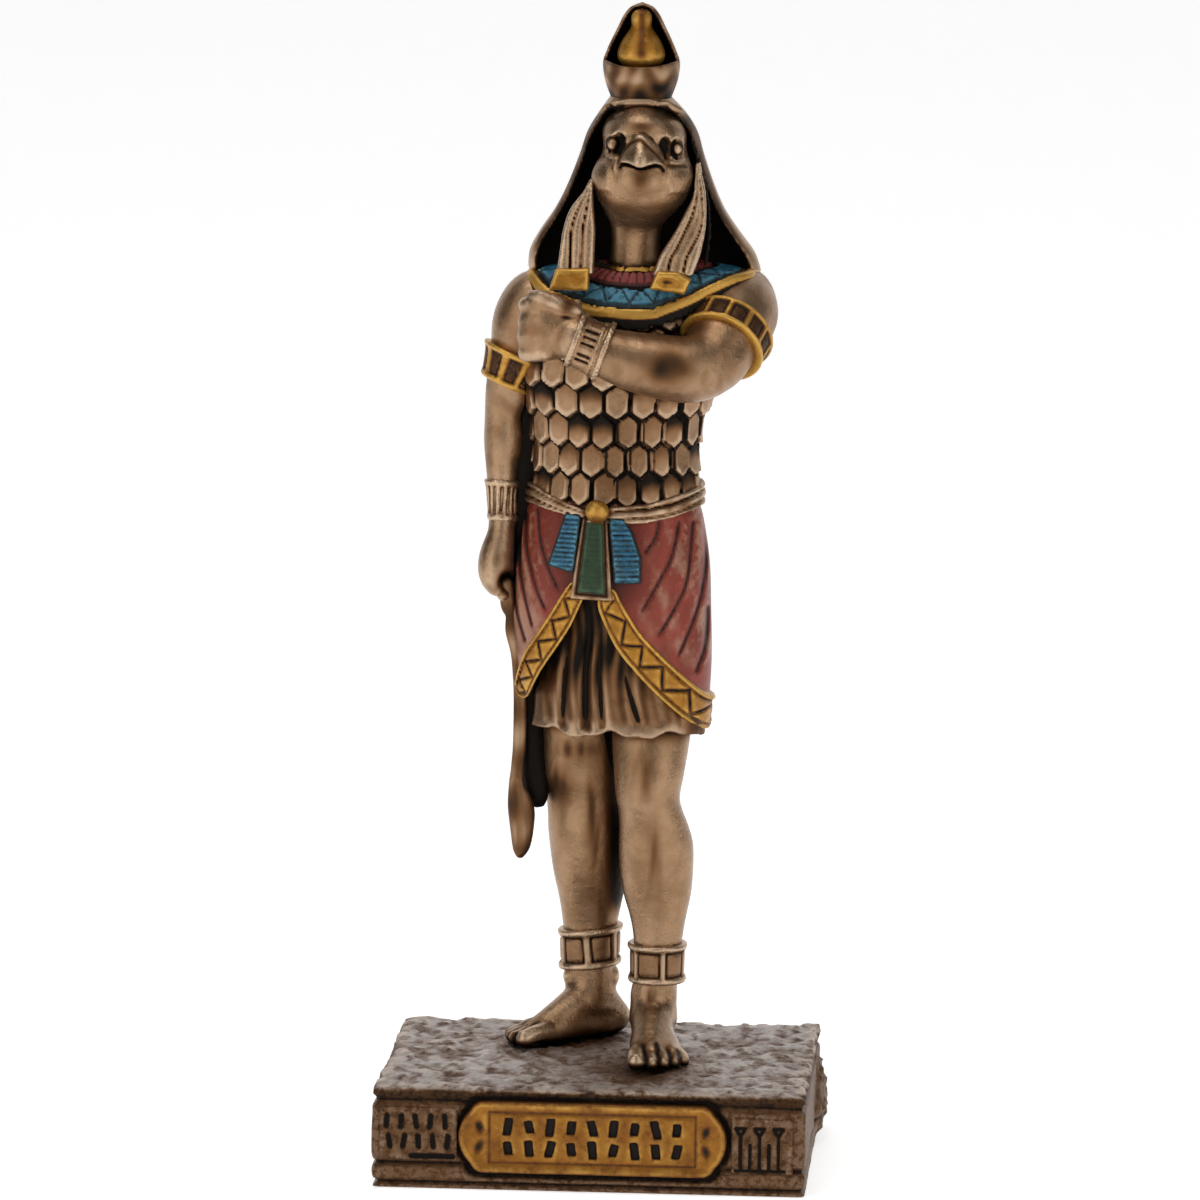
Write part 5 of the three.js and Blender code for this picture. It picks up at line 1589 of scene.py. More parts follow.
def sculpt_cuffs():
    crossing = limb(CROSSING_FOREARM)
    clay = Clay((-10.6, -7.2, 40.0), (2.6, 7.6, 60.0), 0.12)
    clay.add(ring_on(limb(HANGING_ARM, ARM_SQUASH), 0.14, 0.2, *WRIST_CUFF))
    for x, z, half, rise in BRACELET_PARTS:
        clay.add(ring_on(crossing, rise, 0.0, (x, -3.9, z), BRACELET_AXIS, half, 1, 0.0, 0.0))
    clay.raise_skin((-3, -7, 54), (0.5, -4, 58.4), bracelet_ticks)
    return clay


# Each foot: x, y, the way it points, and its outer side.
FEET = [(4.0, 1.5, 0.11, 1), (-1.55, 7.3, -0.93, -1)]
# A foot's rods: how softly each joins, and its rows of [along, across, height, radius].
FOOT_RODS = [
    (0.7, [[-2.4, 0, 1.3, 1.35], [-1.0, 0, 2.2, 1.7], [0.6, -0.1, 2.6, 1.6], [2.4, -0.3, 1.9, 1.45],
           [4.2, -0.35, 1.15, 1.2], [5.4, -0.3, 0.9, 0.9]]),
    (0.6, [[0.0, 0.5, 1.0, 1.1], [2.4, 0.9, 0.95, 1.05], [4.8, 1.2, 0.75, 0.8]]),
    (0.6, [[-1.0, -0.5, 1.0, 1.1], [2.2, -0.95, 0.95, 1.0], [4.8, -1.2, 0.8, 0.85]]),
]
TOE_GAPS = [-1.0, 0.02, 0.95, 1.75]  # across the foot
FOOT_TOES = [
    # across, along, height, radius
    [-1.62, 6.9, 0.76, 0.8],
    [-0.5, 7.1, 0.64, 0.6],
    [0.5, 6.8, 0.6, 0.55],
    [1.38, 6.35, 0.54, 0.5],
    [2.1, 5.75, 0.5, 0.45],
]


def foot_place(x, y, heading, side):
    """A function from along, across and height on a foot to the clay's axes."""
    forward = (math.sin(heading), -math.cos(heading))
    aside = (math.cos(heading), math.sin(heading))

    def place(along, across, z, *radius):
        px = x + forward[0] * along + aside[0] * across * side
        py = y + forward[1] * along + aside[1] * across * side
        return [px, py, z, *radius]

    return place


def add_foot(clay, *foot):
    """A foot: its instep, its two sides, the toes and their nails."""
    place = foot_place(*foot)
    for soft, rows in FOOT_RODS:
        clay.add(limb([place(*row) for row in rows]), soft)
    for across, along, height, radius in FOOT_TOES:
        clay.add(limb([
            place(along - 2.2, across * 0.82, height + 0.25, radius * 0.95),
            place(along - 0.9, across, height + 0.2, radius * 0.86),
            place(along, across * 1.02, height * 0.85, radius * 0.9)]), 0.08)
    for across, along, height, radius in FOOT_TOES:
        nail = place(along + 0.12, across * 1.02, height + radius * 0.55)
        clay.add(ball(nail, (radius * 0.55, radius * 0.55, radius * 0.25)), 0.03)


def sculpt_legs():
    clay = Clay((-8.9, -8.0, 0.0), (8.6, 12.4, 27.4), 0.215)
    clay.add(stack(FRONT_LEG))
    clay.add(ball((4.0, 4.4, 15.6), (2.3, 1.6, 3.6)), 0.9)
    clay.add(stack(BACK_LEG), 0.25)
    clay.add(ball((-1.6, 8.6, 15.6), (2.4, 1.6, 3.6)), 0.9)
    for x, y in ((-3.0, 7.4), (0.35, 7.9)):
        clay.add(ball((x, y, 4.7), (0.55, 0.75, 0.8)), 0.5)
    for foot in FEET:
        add_foot(clay, *foot)
    clay.cut(Form((-9, -8.5, -1), (9, 12.5, 0.2), lambda x, y, z: z))
    return clay


# Painted dark reflections in streaks down the fronts of the legs, and patches of painted shade: x, height,
# half width, half height, strength.
LEG_STREAKS = [
    (3.1, 23.0, 1.2, 1.6, 0.45), (3.3, 21.6, 0.7, 2.0, 0.4), (4.0, 15.2, 0.7, 3.6, 0.5),
    (3.75, 4.3, 0.35, 1.2, 0.5), (-3.6, 20.5, 1.2, 2.2, 0.68), (-1.0, 18.0, 0.7, 6.5, 0.6),
    (-0.4, 12.0, 0.6, 4.0, 0.5), (-2.4, 23.6, 2.6, 1.0, 0.6),
]


def toe_gap_shade(x, y, z):
    """Painted shade between the toes."""
    dark = 0.0
    for foot_x, foot_y, heading, side in FEET:
        dx, dy = x - foot_x, y - foot_y
        along = dx * math.sin(heading) - dy * math.cos(heading)
        across = (dx * math.cos(heading) + dy * math.sin(heading)) * side
        for gap in TOE_GAPS:
            line = hump(across - gap - 0.08 * (along - 6), 0.26)
            dark = np.maximum(dark, line * smooth_step(along, 4.7, 5.6) * (z < 1.9) * (along < 9))
    return dark


def leg_shade(x, y, z):
    """Painted shade under the hem, between the legs, round the soles, under the back foot's arch and
    between the toes, and painted dark reflections in streaks down the fronts.
    """
    below_hem = 0.95 * smooth_step(z, 24.2, 26.0)
    between_legs = 0.9 * hump(x - 0.75, 1.0) * smooth_step(y, 1.8, 3.6) * smooth_step(z, 9.0, 11.5)
    soles = 0.9 * smooth_step(0.8 - z, 0, 0.5)
    arch = 0.7 * smooth_step(1.6 - z, 0, 1.2) * hump((x + 1.6) / 2.6, 1) * (y > 3) * (y < 8)
    streaks = painted_spots(x, z, LEG_STREAKS, 1 + 0.35 * uneven(x, y, z / 5, 1.3))
    front = streaks * (y < np.where(x > 0.8, 2.5, 6.5))
    return np.clip(most(below_hem, between_legs, front, arch, soles, toe_gap_shade(x, y, z)), 0, 1)


def sculpt_anklets():
    clay = Clay((-5.0, -1.2, 4.4), (7.6, 11.0, 10.0), 0.13)
    front = stack([[3.0, 4.17, 1.8, 2.35, 2.1], [11.0, 4.2, 2.0, 2.35, 2.2]])
    back = stack([[3.0, -1.45, 2.0, 7.45, 2.1], [11.0, -1.42, 2.25, 7.45, 2.1]])
    clay.add(ring_on(front, 0.32, 0.2, *FRONT_ANKLET))
    clay.add(ring_on(back, 0.32, 0.2, *BACK_ANKLET))
    return clay


# Stations of the sword, from its grip down to its point, as [x, y, z, radius].
SWORD = [
    [-7.9, 2.7, 36.6, 0.5],
    [-7.8, 2.9, 35.0, 0.62],
    [-7.6, 2.9, 34.1, 0.42],
    [-7.5, 2.9, 32.9, 0.52],
    [-7.1, 2.9, 31.1, 0.48],
    [-6.95, 2.9, 29.3, 0.46],
    [-6.83, 2.9, 27.5, 0.5],
    [-6.82, 2.9, 24.0, 0.53],
    [-6.96, 2.9, 22.1, 0.53],
    [-7.02, 2.9, 20.7, 0.62],
    [-6.78, 2.9, 19.5, 0.93],
    [-6.62, 2.9, 18.6, 1.05],
    [-6.57, 2.9, 17.2, 0.92],
    [-6.6, 2.9, 16.0, 0.72],
    [-6.7, 2.9, 15.25, 0.38],
]
SWORD_GROOVE = [[-7.05, 21.0], [-6.85, 18.9], [-6.7, 17.2], [-6.72, 15.6]]


def sword_groove(x, y, z):
    """The groove down the front of the blade's point, with a low ridge beside it."""
    gap, _, _ = gap_to_curve(x, z, SWORD_GROOVE)
    return (-0.12 * hump(gap, 0.17) + 0.08 * hump(gap - 0.42, 0.14)) * (y < 2.9)


def sculpt_sword():
    clay = Clay((-9.6, 0.6, 13.8), (-4.4, 5.6, 38.6), 0.13)
    clay.add(limb(SWORD, (1, 0.7, 1)))
    clay.raise_skin((-8.2, 1.4, 15), (-5.6, 3.2, 22), sword_groove)
    return clay


def sword_soot(x, y, z):
    return 0.5 + 0.22 * uneven(x, y, z, 4.0)


def sculpt_sword_shadow_web():
    """A web of the casting between the sword and the leg, painted black all over as the shade in the gap
    between them.
    """
    clay = Clay((-8.6, 3.0, 17.4), (-3.2, 6.2, 36.6), 0.3)
    clay.add(stack([
        [18.7, -5.5, 0.5, 4.4, 0.5], [20.0, -5.55, 1.0, 4.2, 0.8], [23.0, -5.9, 1.0, 4.2, 0.9],
        [26.0, -6.1, 1.0, 4.3, 0.9], [30.0, -6.3, 1.0, 4.4, 0.8], [36.0, -6.6, 1.3, 4.4, 0.8]]))
    return clay


def sculpt_arm_shadow_web():
    """A web of the casting that closes the space between the hanging arm and the body, painted black all
    over as the shade in that gap.
    """
    clay = Clay((-10.0, 3.0, 34.6), (-3.6, 6.4, 59.4), 0.35)
    clay.add(stack([
        [35.4, -7.4, 1.1, 4.6, 0.7], [40.0, -7.2, 1.5, 4.6, 0.7], [46.0, -6.9, 1.9, 4.7, 0.7],
        [52.0, -6.6, 1.7, 4.7, 0.7], [58.6, -5.8, 1.2, 4.7, 0.7]]))
    return clay


# The plinth.

PLINTH_HALF = (16.65, 13.5)
# The grooves round the plinth: height, depth, width.
PLINTH_GROOVES = [(-7.45, 0.46, 0.17), (-5.95, 0.46, 0.17), (-1.1, 0.55, 0.24)]
# The plaque: its centre as x and height, and half lengths and half heights of its parts.
PLAQUE_AT = (0.3, -3.8)
PLAQUE_BED = (10.75, 3.2)
PLAQUE_EDGE = (10.3, 2.8)
PLAQUE_FIELD = (7.9, 1.95)


def plinth_distance(x, y, z):
    """The plinth: worn sides with grooves, a broken upper edge and a rough stone-like top."""
    wear = 0.1 * rough(x, y, z, 2.6, 11) + 0.06 * rough(x, y, z, 0.8, 12)
    break_up = 0.22 * rough(x, y, z, 3.1, 13)
    sides = np.maximum(np.abs(x) - PLINTH_HALF[0], np.abs(y) - PLINTH_HALF[1])
    stone = 0.2 * rough(x, y, z, 0.7, 14) + 0.18 * rough(x, y, z, 2.2, 15)
    top = z - stone * smooth_step(z, -1.2, -0.2) + 0.12
    chamfer = (sides + top) * 0.72 + 0.22 + break_up
    face = sides + wear * 0.6
    for height, depth, width in PLINTH_GROOVES:
        face = face + depth * hump(z - height, width)
    return most(face, top, chamfer, -SOLE_HEIGHT - z)


def beside_plaque(x, z):
    """How far to the side of the plaque's centre a point is, and how far above or below it."""
    return np.abs(x - PLAQUE_AT[0]), np.abs(z - PLAQUE_AT[1])


def capsule_gap(x, z, half_length, half_height):
    """The distance in the front plane from a long plate with rounded ends."""
    dx, dz = beside_plaque(x, z)
    round_end = np.hypot(np.maximum(dx - half_length + half_height, 0), dz) - half_height
    lobe = smooth_max(round_end, dz - half_height, 0.3)
    side = np.maximum(dx - half_length + 1.9, 0)
    top = np.maximum(dz - half_height + 1.0, 0)
    return smooth_min(lobe, np.hypot(side, top) - 1.0, 0.15)


def field_gap(x, z):
    """The distance in the front plane from the plaque's sunk field."""
    dx, dz = beside_plaque(x, z)
    return np.maximum(dx - PLAQUE_FIELD[0], dz - PLAQUE_FIELD[1])


def plaque_notches(x, z):
    """1 in the notches at the two ends of the plaque's field."""
    dx, dz = beside_plaque(x, z)
    return hump(np.hypot(dx - 8.5 - 0.25 * dz, (dz - 0.75) * 0.6), 0.4)


# The plinth's two carved fields, as strokes from [x, z] to [x, z].

def field_strokes():
    """Two rows of short strokes in the left field and a line under them."""
    for height, first in ((-2.7, -15.5), (-4.25, -15.3)):
        for i in range(5):
            x = first + 1.12 * i
            lean = 0.07 * math.sin(2.3 * i + height)
            yield [x - lean, height + 0.42, x + lean, height - 0.42]
    yield [-13.6, -5.4, -10.4, -5.4]


def reed_strokes():
    """Three flowering stalks with two buds between them, on a base line."""
    for x in (11.65, 13.1, 14.55):
        yield [x, -3.1, x, -5.95]
        yield [x - 0.38, -2.65, x, -3.25]
        yield [x + 0.38, -2.65, x, -3.25]
        yield [x - 0.38, -2.65, x + 0.38, -2.65]
    for x in (12.38, 13.83):
        yield [x, -3.9, x, -5.95]
    yield [11.3, -5.95, 15.0, -5.95]


# The two carved fields: centre and half size.
END_PANELS = [((-13.1, -13.7, -3.65), (2.95, 0.45, 2.0)), ((13.3, -13.7, -4.0), (2.3, 0.45, 2.1))]


def plaque_bed(x, y, z):
    """The hollow that the plaque lies in."""
    return np.maximum(capsule_gap(x, z, *PLAQUE_BED), y + 13.0)


def crumbs(x, y, z):
    """The rough lump of casting on the plinth's right side."""
    lump = np.sqrt(((x - 16.5) / 0.9) ** 2 + ((y - 8.2) / 3.6) ** 2 + ((z + 4.6) / 2.6) ** 2)
    return (lump - 1) * 0.9 - 0.28 * rough(x, y, z, 0.8, 21)


def sculpt_plinth():
    clay = Clay((-17.4, -14.4, -8.4), (18.6, 14.2, 1.0), 0.3)
    clay.add(Form((-17.2, -14.2, -8.2), (17.2, 14.2, 0.8), plinth_distance))
    clay.cut(Form((-11.5, -15, -7.6), (12, -13, -0.4), plaque_bed), 0.12)
    for panel in END_PANELS:
        clay.cut(block(*panel), 0.05)
    clay.add(Form((15.6, 4.4, -7.4), (17.4, 12.0, -1.8), crumbs), 0.2)
    return clay


def stroke_gap(x, z, stroke):
    """The distance in the front plane from a straight stroke."""
    x0, z0, x1, z1 = stroke
    length = max((x1 - x0) ** 2 + (z1 - z0) ** 2, 1e-4)
    t = np.clip(((x - x0) * (x1 - x0) + (z - z0) * (z1 - z0)) / length, 0, 1)
    return np.hypot(x - x0 - t * (x1 - x0), z - z0 - t * (z1 - z0))


def sculpt_end_marks():
    """The two carved fields of the plinth's front, beside the plaque."""
    clay = Clay((-16.9, -14.0, -6.6), (16.2, -12.8, -1.3), 0.13)
    for (x, _, z), (half_x, _, half_z) in END_PANELS:
        clay.add(block((x, -13.2, z), (half_x + 0.08, 0.3, half_z + 0.08), rounding=0.12))
    for x0, z0, x1, z1 in [*field_strokes(), *reed_strokes()]:
        clay.cut(limb([[x0, -13.55, z0, 0.16], [x1, -13.55, z1, 0.16]]), 0.06)
    return clay


def end_soot(x, y, z):
    """Wash in the strokes of the two carved fields."""
    dark = 0.42 + 0.1 * uneven(x, y, z, 2.1)
    for strokes, half in ((field_strokes(), 0.24), (reed_strokes(), 0.17)):
        for stroke in strokes:
            dark = np.maximum(dark, smooth_step(half - stroke_gap(x, z, stroke), -0.04, 0.08))
    return dark


def plinth_wash_and_shadow(x, y, z):
    """Wash in the grooves and in the sunk marks, and the figure's shadow painted round the feet."""
    bed = smooth_step(0.1 - capsule_gap(x, z, *PLAQUE_BED), 0, 0.2)
    dark = bed * (y < -12.5) * smooth_step(y, -13.45, -13.25)
    for height, _, _ in PLINTH_GROOVES:
        dark = np.maximum(dark, hump(z - height, 0.18))
    # the figure's shadow, painted round both feet
    front_foot = np.hypot((x - 3.6) / 4.4, (y + 4.4) / 7.6)
    back_foot = np.hypot((x + 3.0) / 5.6, (y - 5.6) / 4.6)
    feet = np.maximum(hump(front_foot, 0.95), hump(back_foot, 0.95)) * (z > -0.8)
    stains = smooth_step(uneven(x, y, z, 1.9) + uneven(x, y, z, 5.3), -0.2, 1.1)
    top = smooth_step(z, -0.9, -0.4) * stains
    front = (0.42 + 0.22 * smooth_step(z, -1.3, -0.9)) * smooth_step(-0.1 - z, 0, 0.3)
    return most(0.9 * dark, 0.65 * feet, 0.4 * top, front)


def plaque_distance(x, y, z):
    """A rimmed plate with a sunk line round its field and a notch at each end."""
    edge = capsule_gap(x, z, *PLAQUE_EDGE)
    field = field_gap(x, z)
    sunk = 0.2 * hump(field, 0.14) + 0.1 * smooth_step(-field, 0, 0.3) + 0.3 * plaque_notches(x, z)
    rise = 0.12 + 0.12 * hump(edge + 0.25, 0.16) - sunk
    wear = 0.04 * rough(x, y, z, 1.1, 31)
    face = -PLINTH_HALF[1] - rise - y + wear
    return np.maximum(smooth_max(face, edge, 0.15), y + 12.7)


def plaque_strokes():
    """Two rows of short strokes that stand where the plaque's inscription was."""
    for row in (0.85, -0.85):
        for i in range(9):
            x = PLAQUE_AT[0] + (i - 4) * 1.62
            tilt = 14 * math.sin(i * 2.1 + row * 3)
            yield x, PLAQUE_AT[1] + row, tilt, 0.6 + 0.12 * math.sin(i * 3.7 + row)


def sculpt_plaque():
    clay = Clay((-10.8, -14.2, -7.4), (11.4, -12.4, -0.2), 0.14)
    clay.add(Form((-10.2, -14.0, -6.9), (10.8, -12.8, -0.7), plaque_distance))
    for x, z, tilt, half in plaque_strokes():
        clay.cut(block((x, -13.6, z), (0.3, 0.42, half), (0, tilt, 0), 0.12), 0.05)
    return clay


def plaque_soot(x, y, z):
    """Wash in the strokes and in the sunk line round them."""
    dark = 0.7 * hump(field_gap(x, z), 0.16)
    for stroke_x, stroke_z, tilt, half in plaque_strokes():
        dx, dz = x - stroke_x, z - stroke_z
        stroke = np.maximum(np.abs(dx - math.tan(math.radians(tilt)) * dz) - 0.33, np.abs(dz) - half)
        dark = np.maximum(dark, smooth_step(-stroke, -0.08, 0.08))
    stains = 0.32 + 0.12 * uneven(x, y, z, 4.1)
    rim = hump(capsule_gap(x, z, *PLAQUE_EDGE), 0.25)
    return most(0.95 * dark, 0.9 * plaque_notches(x, z), stains, 0.6 * rim)


# Materials.

def node(tree, kind, **values):
    made = tree.nodes.new(kind)
    for key, value in values.items():
        setattr(made, key, value)
    return made


def feed(tree, socket, value):
    """Gives a socket its value: a constant, or another node's output."""
    if isinstance(value, bpy.types.NodeSocket):
        tree.links.new(value, socket)
    else:
        socket.default_value = value


def mix_colour(tree, factor, first, second):
    """A colour blended from the first to the second."""
    made = node(tree, "ShaderNodeMix", data_type="RGBA")
    for place, value in ((0, factor), (6, first), (7, second)):
        feed(tree, made.inputs[place], value)
    return made.outputs[2]


def math_node(tree, operation, *values, clamp=False):
    made = node(tree, "ShaderNodeMath", operation=operation, use_clamp=clamp)
    for socket, value in zip(made.inputs, values):
        feed(tree, socket, value)
    return made.outputs[0]


def plus(tree, first, second):
    return math_node(tree, "ADD", first, second)


def times(tree, first, second):
    return math_node(tree, "MULTIPLY", first, second)


def times_plus(tree, first, second, third, clamp=False):
    return math_node(tree, "MULTIPLY_ADD", first, second, third, clamp=clamp)


def spread(tree, value, low, high):
    """The value mapped smoothly from low..high to 0..1."""
    made = node(tree, "ShaderNodeMapRange", clamp=True, interpolation_type="SMOOTHSTEP")
    for place, given in enumerate((value, low, high)):
        feed(tree, made.inputs[place], given)
    return made.outputs[0]


def attribute(tree, name):
    return node(tree, "ShaderNodeAttribute", attribute_name=name).outputs["Fac"]


def noise(tree, coordinates, per_mm, detail=3.0, roughness=0.55):
    made = node(tree, "ShaderNodeTexNoise")
    tree.links.new(coordinates, made.inputs["Vector"])
    made.inputs["Scale"].default_value = per_mm * 1000
    made.inputs["Detail"].default_value = detail
    made.inputs["Roughness"].default_value = roughness
    return made.outputs["Fac"]


def wash_amount(tree, mottle, strength):
    """How much dark wash and painted shade lie at a point: in grooves, in recesses, and where wash was
    brushed on and shade was painted.
    """
    groove = times(tree, attribute(tree, "bend"), -1.1 * strength)
    near = times(tree, spread(tree, attribute(tree, "near"), 0.42, 0.8), 0.9 * strength)
    wide = times(tree, spread(tree, attribute(tree, "wide"), 0.5, 0.88), 0.5 * strength)
    total = plus(tree, groove, plus(tree, near, wide))
    total = plus(tree, total, times_plus(tree, mottle, 0.26, -0.13))
    washed = spread(tree, total, 0.1, 0.62)
    return math_node(tree, "MAXIMUM", washed, attribute(tree, "wash_and_shade"), clamp=True)


def scaled(colour, factors):
    return tuple(c * k for c, k in zip(colour, factors)) + (1,)


# DARK is also the painted shade at its darkest, and BROWNED is also how lighter painted shade changes the
# colour.
DARK = (0.010, 0.007, 0.005, 1)  # the wash where it lies thick
BROWNED = (0.5, 0.38, 0.27)  # how a thin wash changes red, green and blue
# Metres above the plinth's underside: where the lighter grey of its top, a painted highlight, starts, where
# it is full, how ragged.
TOP_SHEEN_FROM, TOP_SHEEN_TO, TOP_SHEEN_RAGGED = 0.0078, 0.0083, 0.0006
BUMP_HEIGHT = 0.00006  # metres


def unworn_colour(tree, place, blotch, mottle, speck, base, top):
    """The metal or paint itself, uneven in blotches and specks, and the plinth's top in a lighter grey,
    painted as its highlights.
    """
    colour = mix_colour(tree, spread(tree, blotch, 0.3, 0.75), base, scaled(base, (0.7, 0.66, 0.6)))
    colour = mix_colour(tree, spread(tree, speck, 0.55, 0.8), colour, scaled(base, (0.7, 0.7, 0.7)))
    if top is None:
        return colour
    split = node(tree, "ShaderNodeSeparateXYZ")
    tree.links.new(place, split.inputs[0])
    height = times_plus(tree, mottle, TOP_SHEEN_RAGGED, split.outputs[2])
    return mix_colour(tree, spread(tree, height, TOP_SHEEN_FROM, TOP_SHEEN_TO), colour, top)


def worn_colour(tree, colour, edge, blotch, wear, worn):
    """The paint, worn through on edges, in blotches and where it was rubbed off, and lighter where
    highlights were painted.
    """
    through = plus(tree, times(tree, edge, wear), times_plus(tree, blotch, 0.9, -0.3))
    through = spread(tree, plus(tree, through, attribute(tree, "bare_and_sheen")), 0.18, 0.7)
    return mix_colour(tree, times(tree, through, 0.75), colour, worn)


def fine_bump(tree, mottle, speck, grit):
    bump = node(tree, "ShaderNodeBump")
    bump.inputs["Strength"].default_value = 0.8 * grit
    bump.inputs["Distance"].default_value = BUMP_HEIGHT
    tree.links.new(plus(tree, mottle, times(tree, speck, 0.6)), bump.inputs["Height"])
    return bump.outputs["Normal"]


def make_finish(name, base, bright, slot=None, worn=None, top=None, metallic=0.88, roughness=0.3,
                wash=1.0, grit=1.0, wear=0.0, mottling=0.0):
    """A material, dark in recesses, bright on edges and worn through on them, and its slot."""
    material = bpy.data.materials.new(name)
    material.use_nodes = True
    tree = material.node_tree
    tree.nodes.clear()
    place = node(tree, "ShaderNodeTexCoord").outputs["Object"]
    blotch = noise(tree, place, 0.55)
    mottle = noise(tree, place, 2.2, 4)
    speck = noise(tree, place, 9.0, 3)
    washed = wash_amount(tree, mottle, wash)
    if mottling:
        patches = spread(tree, noise(tree, place, 2.0, 5, 0.65), 0.46, 0.6)
        washed = times_plus(tree, patches, mottling, washed, clamp=True)
    ragged = plus(tree, attribute(tree, "bend"), times_plus(tree, mottle, 0.5, -0.25))
    edge = spread(tree, ragged, 0.15, 0.6)
    colour = unworn_colour(tree, place, blotch, mottle, speck, base, top)
    if worn is not None:
        colour = worn_colour(tree, colour, edge, blotch, wear, worn)
    colour = mix_colour(tree, times(tree, edge, 0.6), colour, bright)
    colour = mix_colour(tree, spread(tree, washed, 0.0, 0.6), colour, scaled(base, BROWNED))
    colour = mix_colour(tree, spread(tree, washed, 0.35, 0.95), colour, DARK)
    dulled = plus(tree, times_plus(tree, mottle, 0.2, roughness - 0.1), times(tree, washed, 0.3))
    shader = node(tree, "ShaderNodeBsdfPrincipled")
    shader.inputs["Metallic"].default_value = metallic
    tree.links.new(colour, shader.inputs["Base Color"])
    tree.links.new(dulled, shader.inputs["Roughness"])
    tree.links.new(fine_bump(tree, mottle, speck, grit), shader.inputs["Normal"])
    output = node(tree, "ShaderNodeOutputMaterial")
    tree.links.new(shader.outputs[0], output.inputs[0])
    return material, slot or name


BRONZE = make_finish("bronze", (0.37, 0.225, 0.125, 1), (0.64, 0.47, 0.32, 1), roughness=0.28)
# The plinth's lighter grey top is painted as its highlights.
STONE = make_finish(
    "plinth_bronze", (0.29, 0.175, 0.095, 1), (0.62, 0.49, 0.38, 1), top=(0.52, 0.46, 0.43, 1),
    metallic=0.82, grit=5.0, wash=0.6, mottling=0.16)
GOLD = make_finish(
    "gold_paint", (0.4, 0.175, 0.016, 1), (0.72, 0.42, 0.09, 1), metallic=0.65, mottling=0.1)
BLUE = make_finish(
    "blue_paint", (0.01, 0.105, 0.2, 1), (0.06, 0.28, 0.42, 1), worn=(0.12, 0.16, 0.15, 1),
    metallic=0.2, roughness=0.4, wear=0.4, mottling=0.3)
RED = make_finish(
    "red_paint", (0.26, 0.04, 0.022, 1), (0.5, 0.2, 0.12, 1), worn=(0.4, 0.22, 0.14, 1),
    metallic=0.45, roughness=0.34, wear=0.9)
DARK_RED = make_finish(
    "collar_red", (0.13, 0.012, 0.009, 1), (0.32, 0.06, 0.05, 1), slot="red_paint", metallic=0.2,
    roughness=0.4)
GREEN = make_finish(
    "green_paint", (0.008, 0.036, 0.006, 1), (0.05, 0.12, 0.04, 1), metallic=0.15, roughness=0.42,
    wash=0.6)


def recipes():
    """For each piece its name, clay and finish, its painted wash and shade, where it is rubbed bare and
    where highlights were painted.
    """
    blue_pendants = sculpt_tongues((LEFT_TONGUE, RIGHT_TONGUE), 0.5, PENDANT_TICKS, 0.2)
    green_pendant = sculpt_tongues((GREEN_TONGUE,), 0.78, GREEN_TICKS, 0.05)
    pendant_frame = sculpt_tongues((FRAME_TONGUE,), 0.72, 1, 0.0, rim=0.1)
    return [
        ("plinth", sculpt_plinth(), STONE, plinth_wash_and_shadow),
        ("end_marks", sculpt_end_marks(), STONE, end_soot),
        ("plaque", sculpt_plaque(), GOLD, plaque_soot),
        ("legs", sculpt_legs(), BRONZE, leg_shade),
        ("anklets", sculpt_anklets(), BRONZE, ring_soot((FRONT_ANKLET, BACK_ANKLET), 0.25)),
        ("under_kilt", sculpt_under_kilt(), BRONZE, under_kilt_wash_and_shade),
        ("over_kilt", sculpt_over_kilt(), RED, over_kilt_wash_and_shade, kilt_wear_and_sheen),
        ("kilt_borders", sculpt_borders(), GOLD, border_soot),
        ("sash", sculpt_sash(), BRONZE, sash_soot),
        ("sash_boss", sculpt_boss(), GOLD, boss_shade),
        ("blue_pendants", blue_pendants, BLUE, pendant_soot),
        ("pendant_frame", pendant_frame, BRONZE, frame_soot),
        ("green_pendant", green_pendant, GREEN, green_soot),
        ("corselet", sculpt_corselet(), BRONZE, scale_wash_and_darkening),
        ("arms", sculpt_arms(), BRONZE, arm_shade_and_stains),
        # painted black all over, as the shade between the arm and the body
        ("arm_shadow_web", sculpt_arm_shadow_web(), BRONZE, everything),
        ("armbands", sculpt_armbands(), GOLD, ring_soot((HANGING_ARMBAND, RAISED_ARMBAND), 0.72)),
        ("cuffs", sculpt_cuffs(), BRONZE, cuff_soot),
        ("sword", sculpt_sword(), BRONZE, sword_soot),
        # painted black all over, as the shade between the sword and the leg
        ("sword_shadow_web", sculpt_sword_shadow_web(), BRONZE, everything),
        ("collar_bed", sculpt_collar(COLLAR_PARTS["rows"], None, 0.2), BRONZE, everything),
        ("collar_gold", sculpt_collar(COLLAR_PARTS["gold"], None), GOLD, collar_gold_shade),
        ("collar_red", sculpt_collar(COLLAR_PARTS["red"], "bars"), DARK_RED,
         collar_soot("red", "bars", 0.8)),
        ("collar_blue", sculpt_collar(COLLAR_PARTS["blue"], "zigzag"), BLUE,
         collar_soot("blue", "zigzag", 0.7)),
        ("head", sculpt_head(), BRONZE, head_shade),
        ("hood", sculpt_hood(), BRONZE, hood_shade),
        ("lappets", sculpt_lappets(), BRONZE),
        ("lappet_ends", sculpt_lappet_ends(), GOLD),
        ("crown", sculpt_crown(), BRONZE, crown_shade_and_blots),
        ("crown_bulb", sculpt_bulb(), GOLD, bulb_streak_and_shade),
    ]


def build_figure():
    rows = recipes()
    surroundings = Surroundings()
    for _, clay, *_ in rows:
        surroundings.include(clay)
    surroundings.settle()
    return {name: make_piece(name, clay, surroundings, *rest) for name, clay, *rest in rows}


pieces = build_figure()
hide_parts("plinth")
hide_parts("falcon_figure")


# The studio.

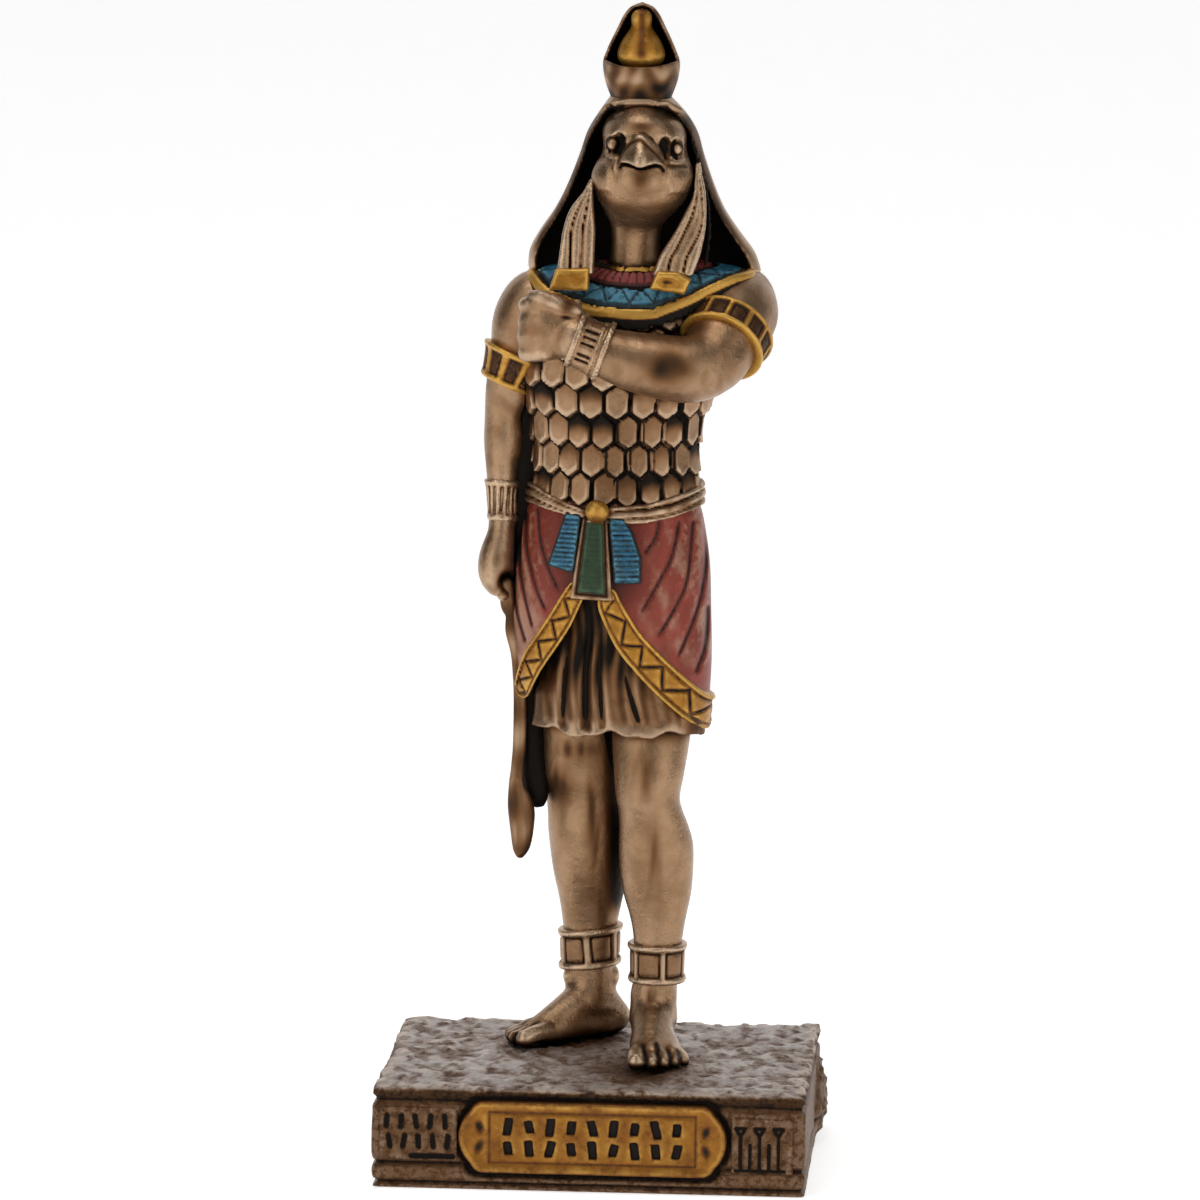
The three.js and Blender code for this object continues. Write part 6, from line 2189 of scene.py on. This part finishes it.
def plain_material(name, colour, glow=0.0):
    material = bpy.data.materials.new(name)
    material.use_nodes = True
    shader = material.node_tree.nodes["Principled BSDF"]
    shader.inputs["Base Color"].default_value = colour
    shader.inputs["Roughness"].default_value = 0.8
    shader.inputs["Emission Color"].default_value = colour
    shader.inputs["Emission Strength"].default_value = glow
    return material


def make_sweep():
    """A pale floor that curves up into a back wall."""
    profile = [(-1.5, 0.0), (0.5, 0.0), (0.8, 0.02), (1.0, 0.1), (1.12, 0.3), (1.15, 0.6), (1.15, 1.8)]
    half = 1.6
    points = [(side * half, y, z) for y, z in profile for side in (-1, 1)]
    faces = [(i, i + 1, i + 3, i + 2) for i in range(0, len(points) - 2, 2)]
    mesh = bpy.data.meshes.new("sweep")
    mesh.from_pydata(points, [], faces)
    mesh.polygons.foreach_set("use_smooth", [True] * len(faces))
    mesh.materials.append(plain_material("sweep_white", (0.8, 0.8, 0.8, 1), 0.8))
    sweep = bpy.data.objects.new("sweep", mesh)
    bpy.context.scene.collection.objects.link(sweep)


def softbox(name, place, aim, width, height, power):
    light = bpy.data.lights.new(name, "AREA")
    light.shape = "RECTANGLE"
    light.size = width
    light.size_y = height
    light.energy = power
    holder = bpy.data.objects.new(name, light)
    holder.location = place
    holder.rotation_mode = "QUATERNION"
    holder.rotation_quaternion = (Vector(aim) - Vector(place)).to_track_quat("-Z", "Y")
    bpy.context.scene.collection.objects.link(holder)


CAMERA_AT = (38.44, -583.04, 133.05)  # millimetres
CAMERA_TURN = (-0.0666, 0.1514, 0.0107)  # radians to the side, down, and about the line of sight
FOCAL_PIXELS = 7633.3
FRAME_PIXELS = 1200
SENSOR = 36  # millimetres


def make_camera():
    """The photograph's view: a long lens, a little to the right and above."""
    place = Vector(CAMERA_AT) * MM
    yaw, pitch, roll = CAMERA_TURN
    ahead = Vector((math.sin(yaw) * math.cos(pitch), math.cos(yaw) * math.cos(pitch), -math.sin(pitch)))
    right = Vector((math.cos(yaw), -math.sin(yaw), 0))
    up = right.cross(ahead)
    rolled_right = math.cos(roll) * right + math.sin(roll) * up
    rolled_up = -math.sin(roll) * right + math.cos(roll) * up
    data = bpy.data.cameras.new("camera")
    data.sensor_width = SENSOR
    data.lens = FOCAL_PIXELS / FRAME_PIXELS * SENSOR
    data.clip_start = 0.05
    data.clip_end = 10
    camera = bpy.data.objects.new("camera", data)
    rows = [(rolled_right[i], rolled_up[i], -ahead[i], place[i]) for i in range(3)]
    camera.matrix_world = Matrix([*rows, (0, 0, 0, 1)])
    bpy.context.scene.collection.objects.link(camera)
    bpy.context.scene.camera = camera


def make_world():
    """A faint even light from all round."""
    world = bpy.data.worlds.new("studio")
    world.use_nodes = True
    background = world.node_tree.nodes["Background"]
    background.inputs["Color"].default_value = (0.5, 0.5, 0.5, 1)
    background.inputs["Strength"].default_value = 0.08
    bpy.context.scene.world = world


make_sweep()
softbox("left_light", (-0.38, -0.4, 0.22), (0, 0, 0.05), 0.58, 0.6, 1.45)
softbox("right_light", (0.42, -0.38, 0.22), (0, 0, 0.05), 0.6, 0.6, 1.3)
softbox("top_light", (-0.05, -0.1, 0.6), (0, 0, 0.04), 0.45, 0.3, 1.2)
make_camera()
make_world()
bpy.context.scene.view_settings.view_transform = "Standard"
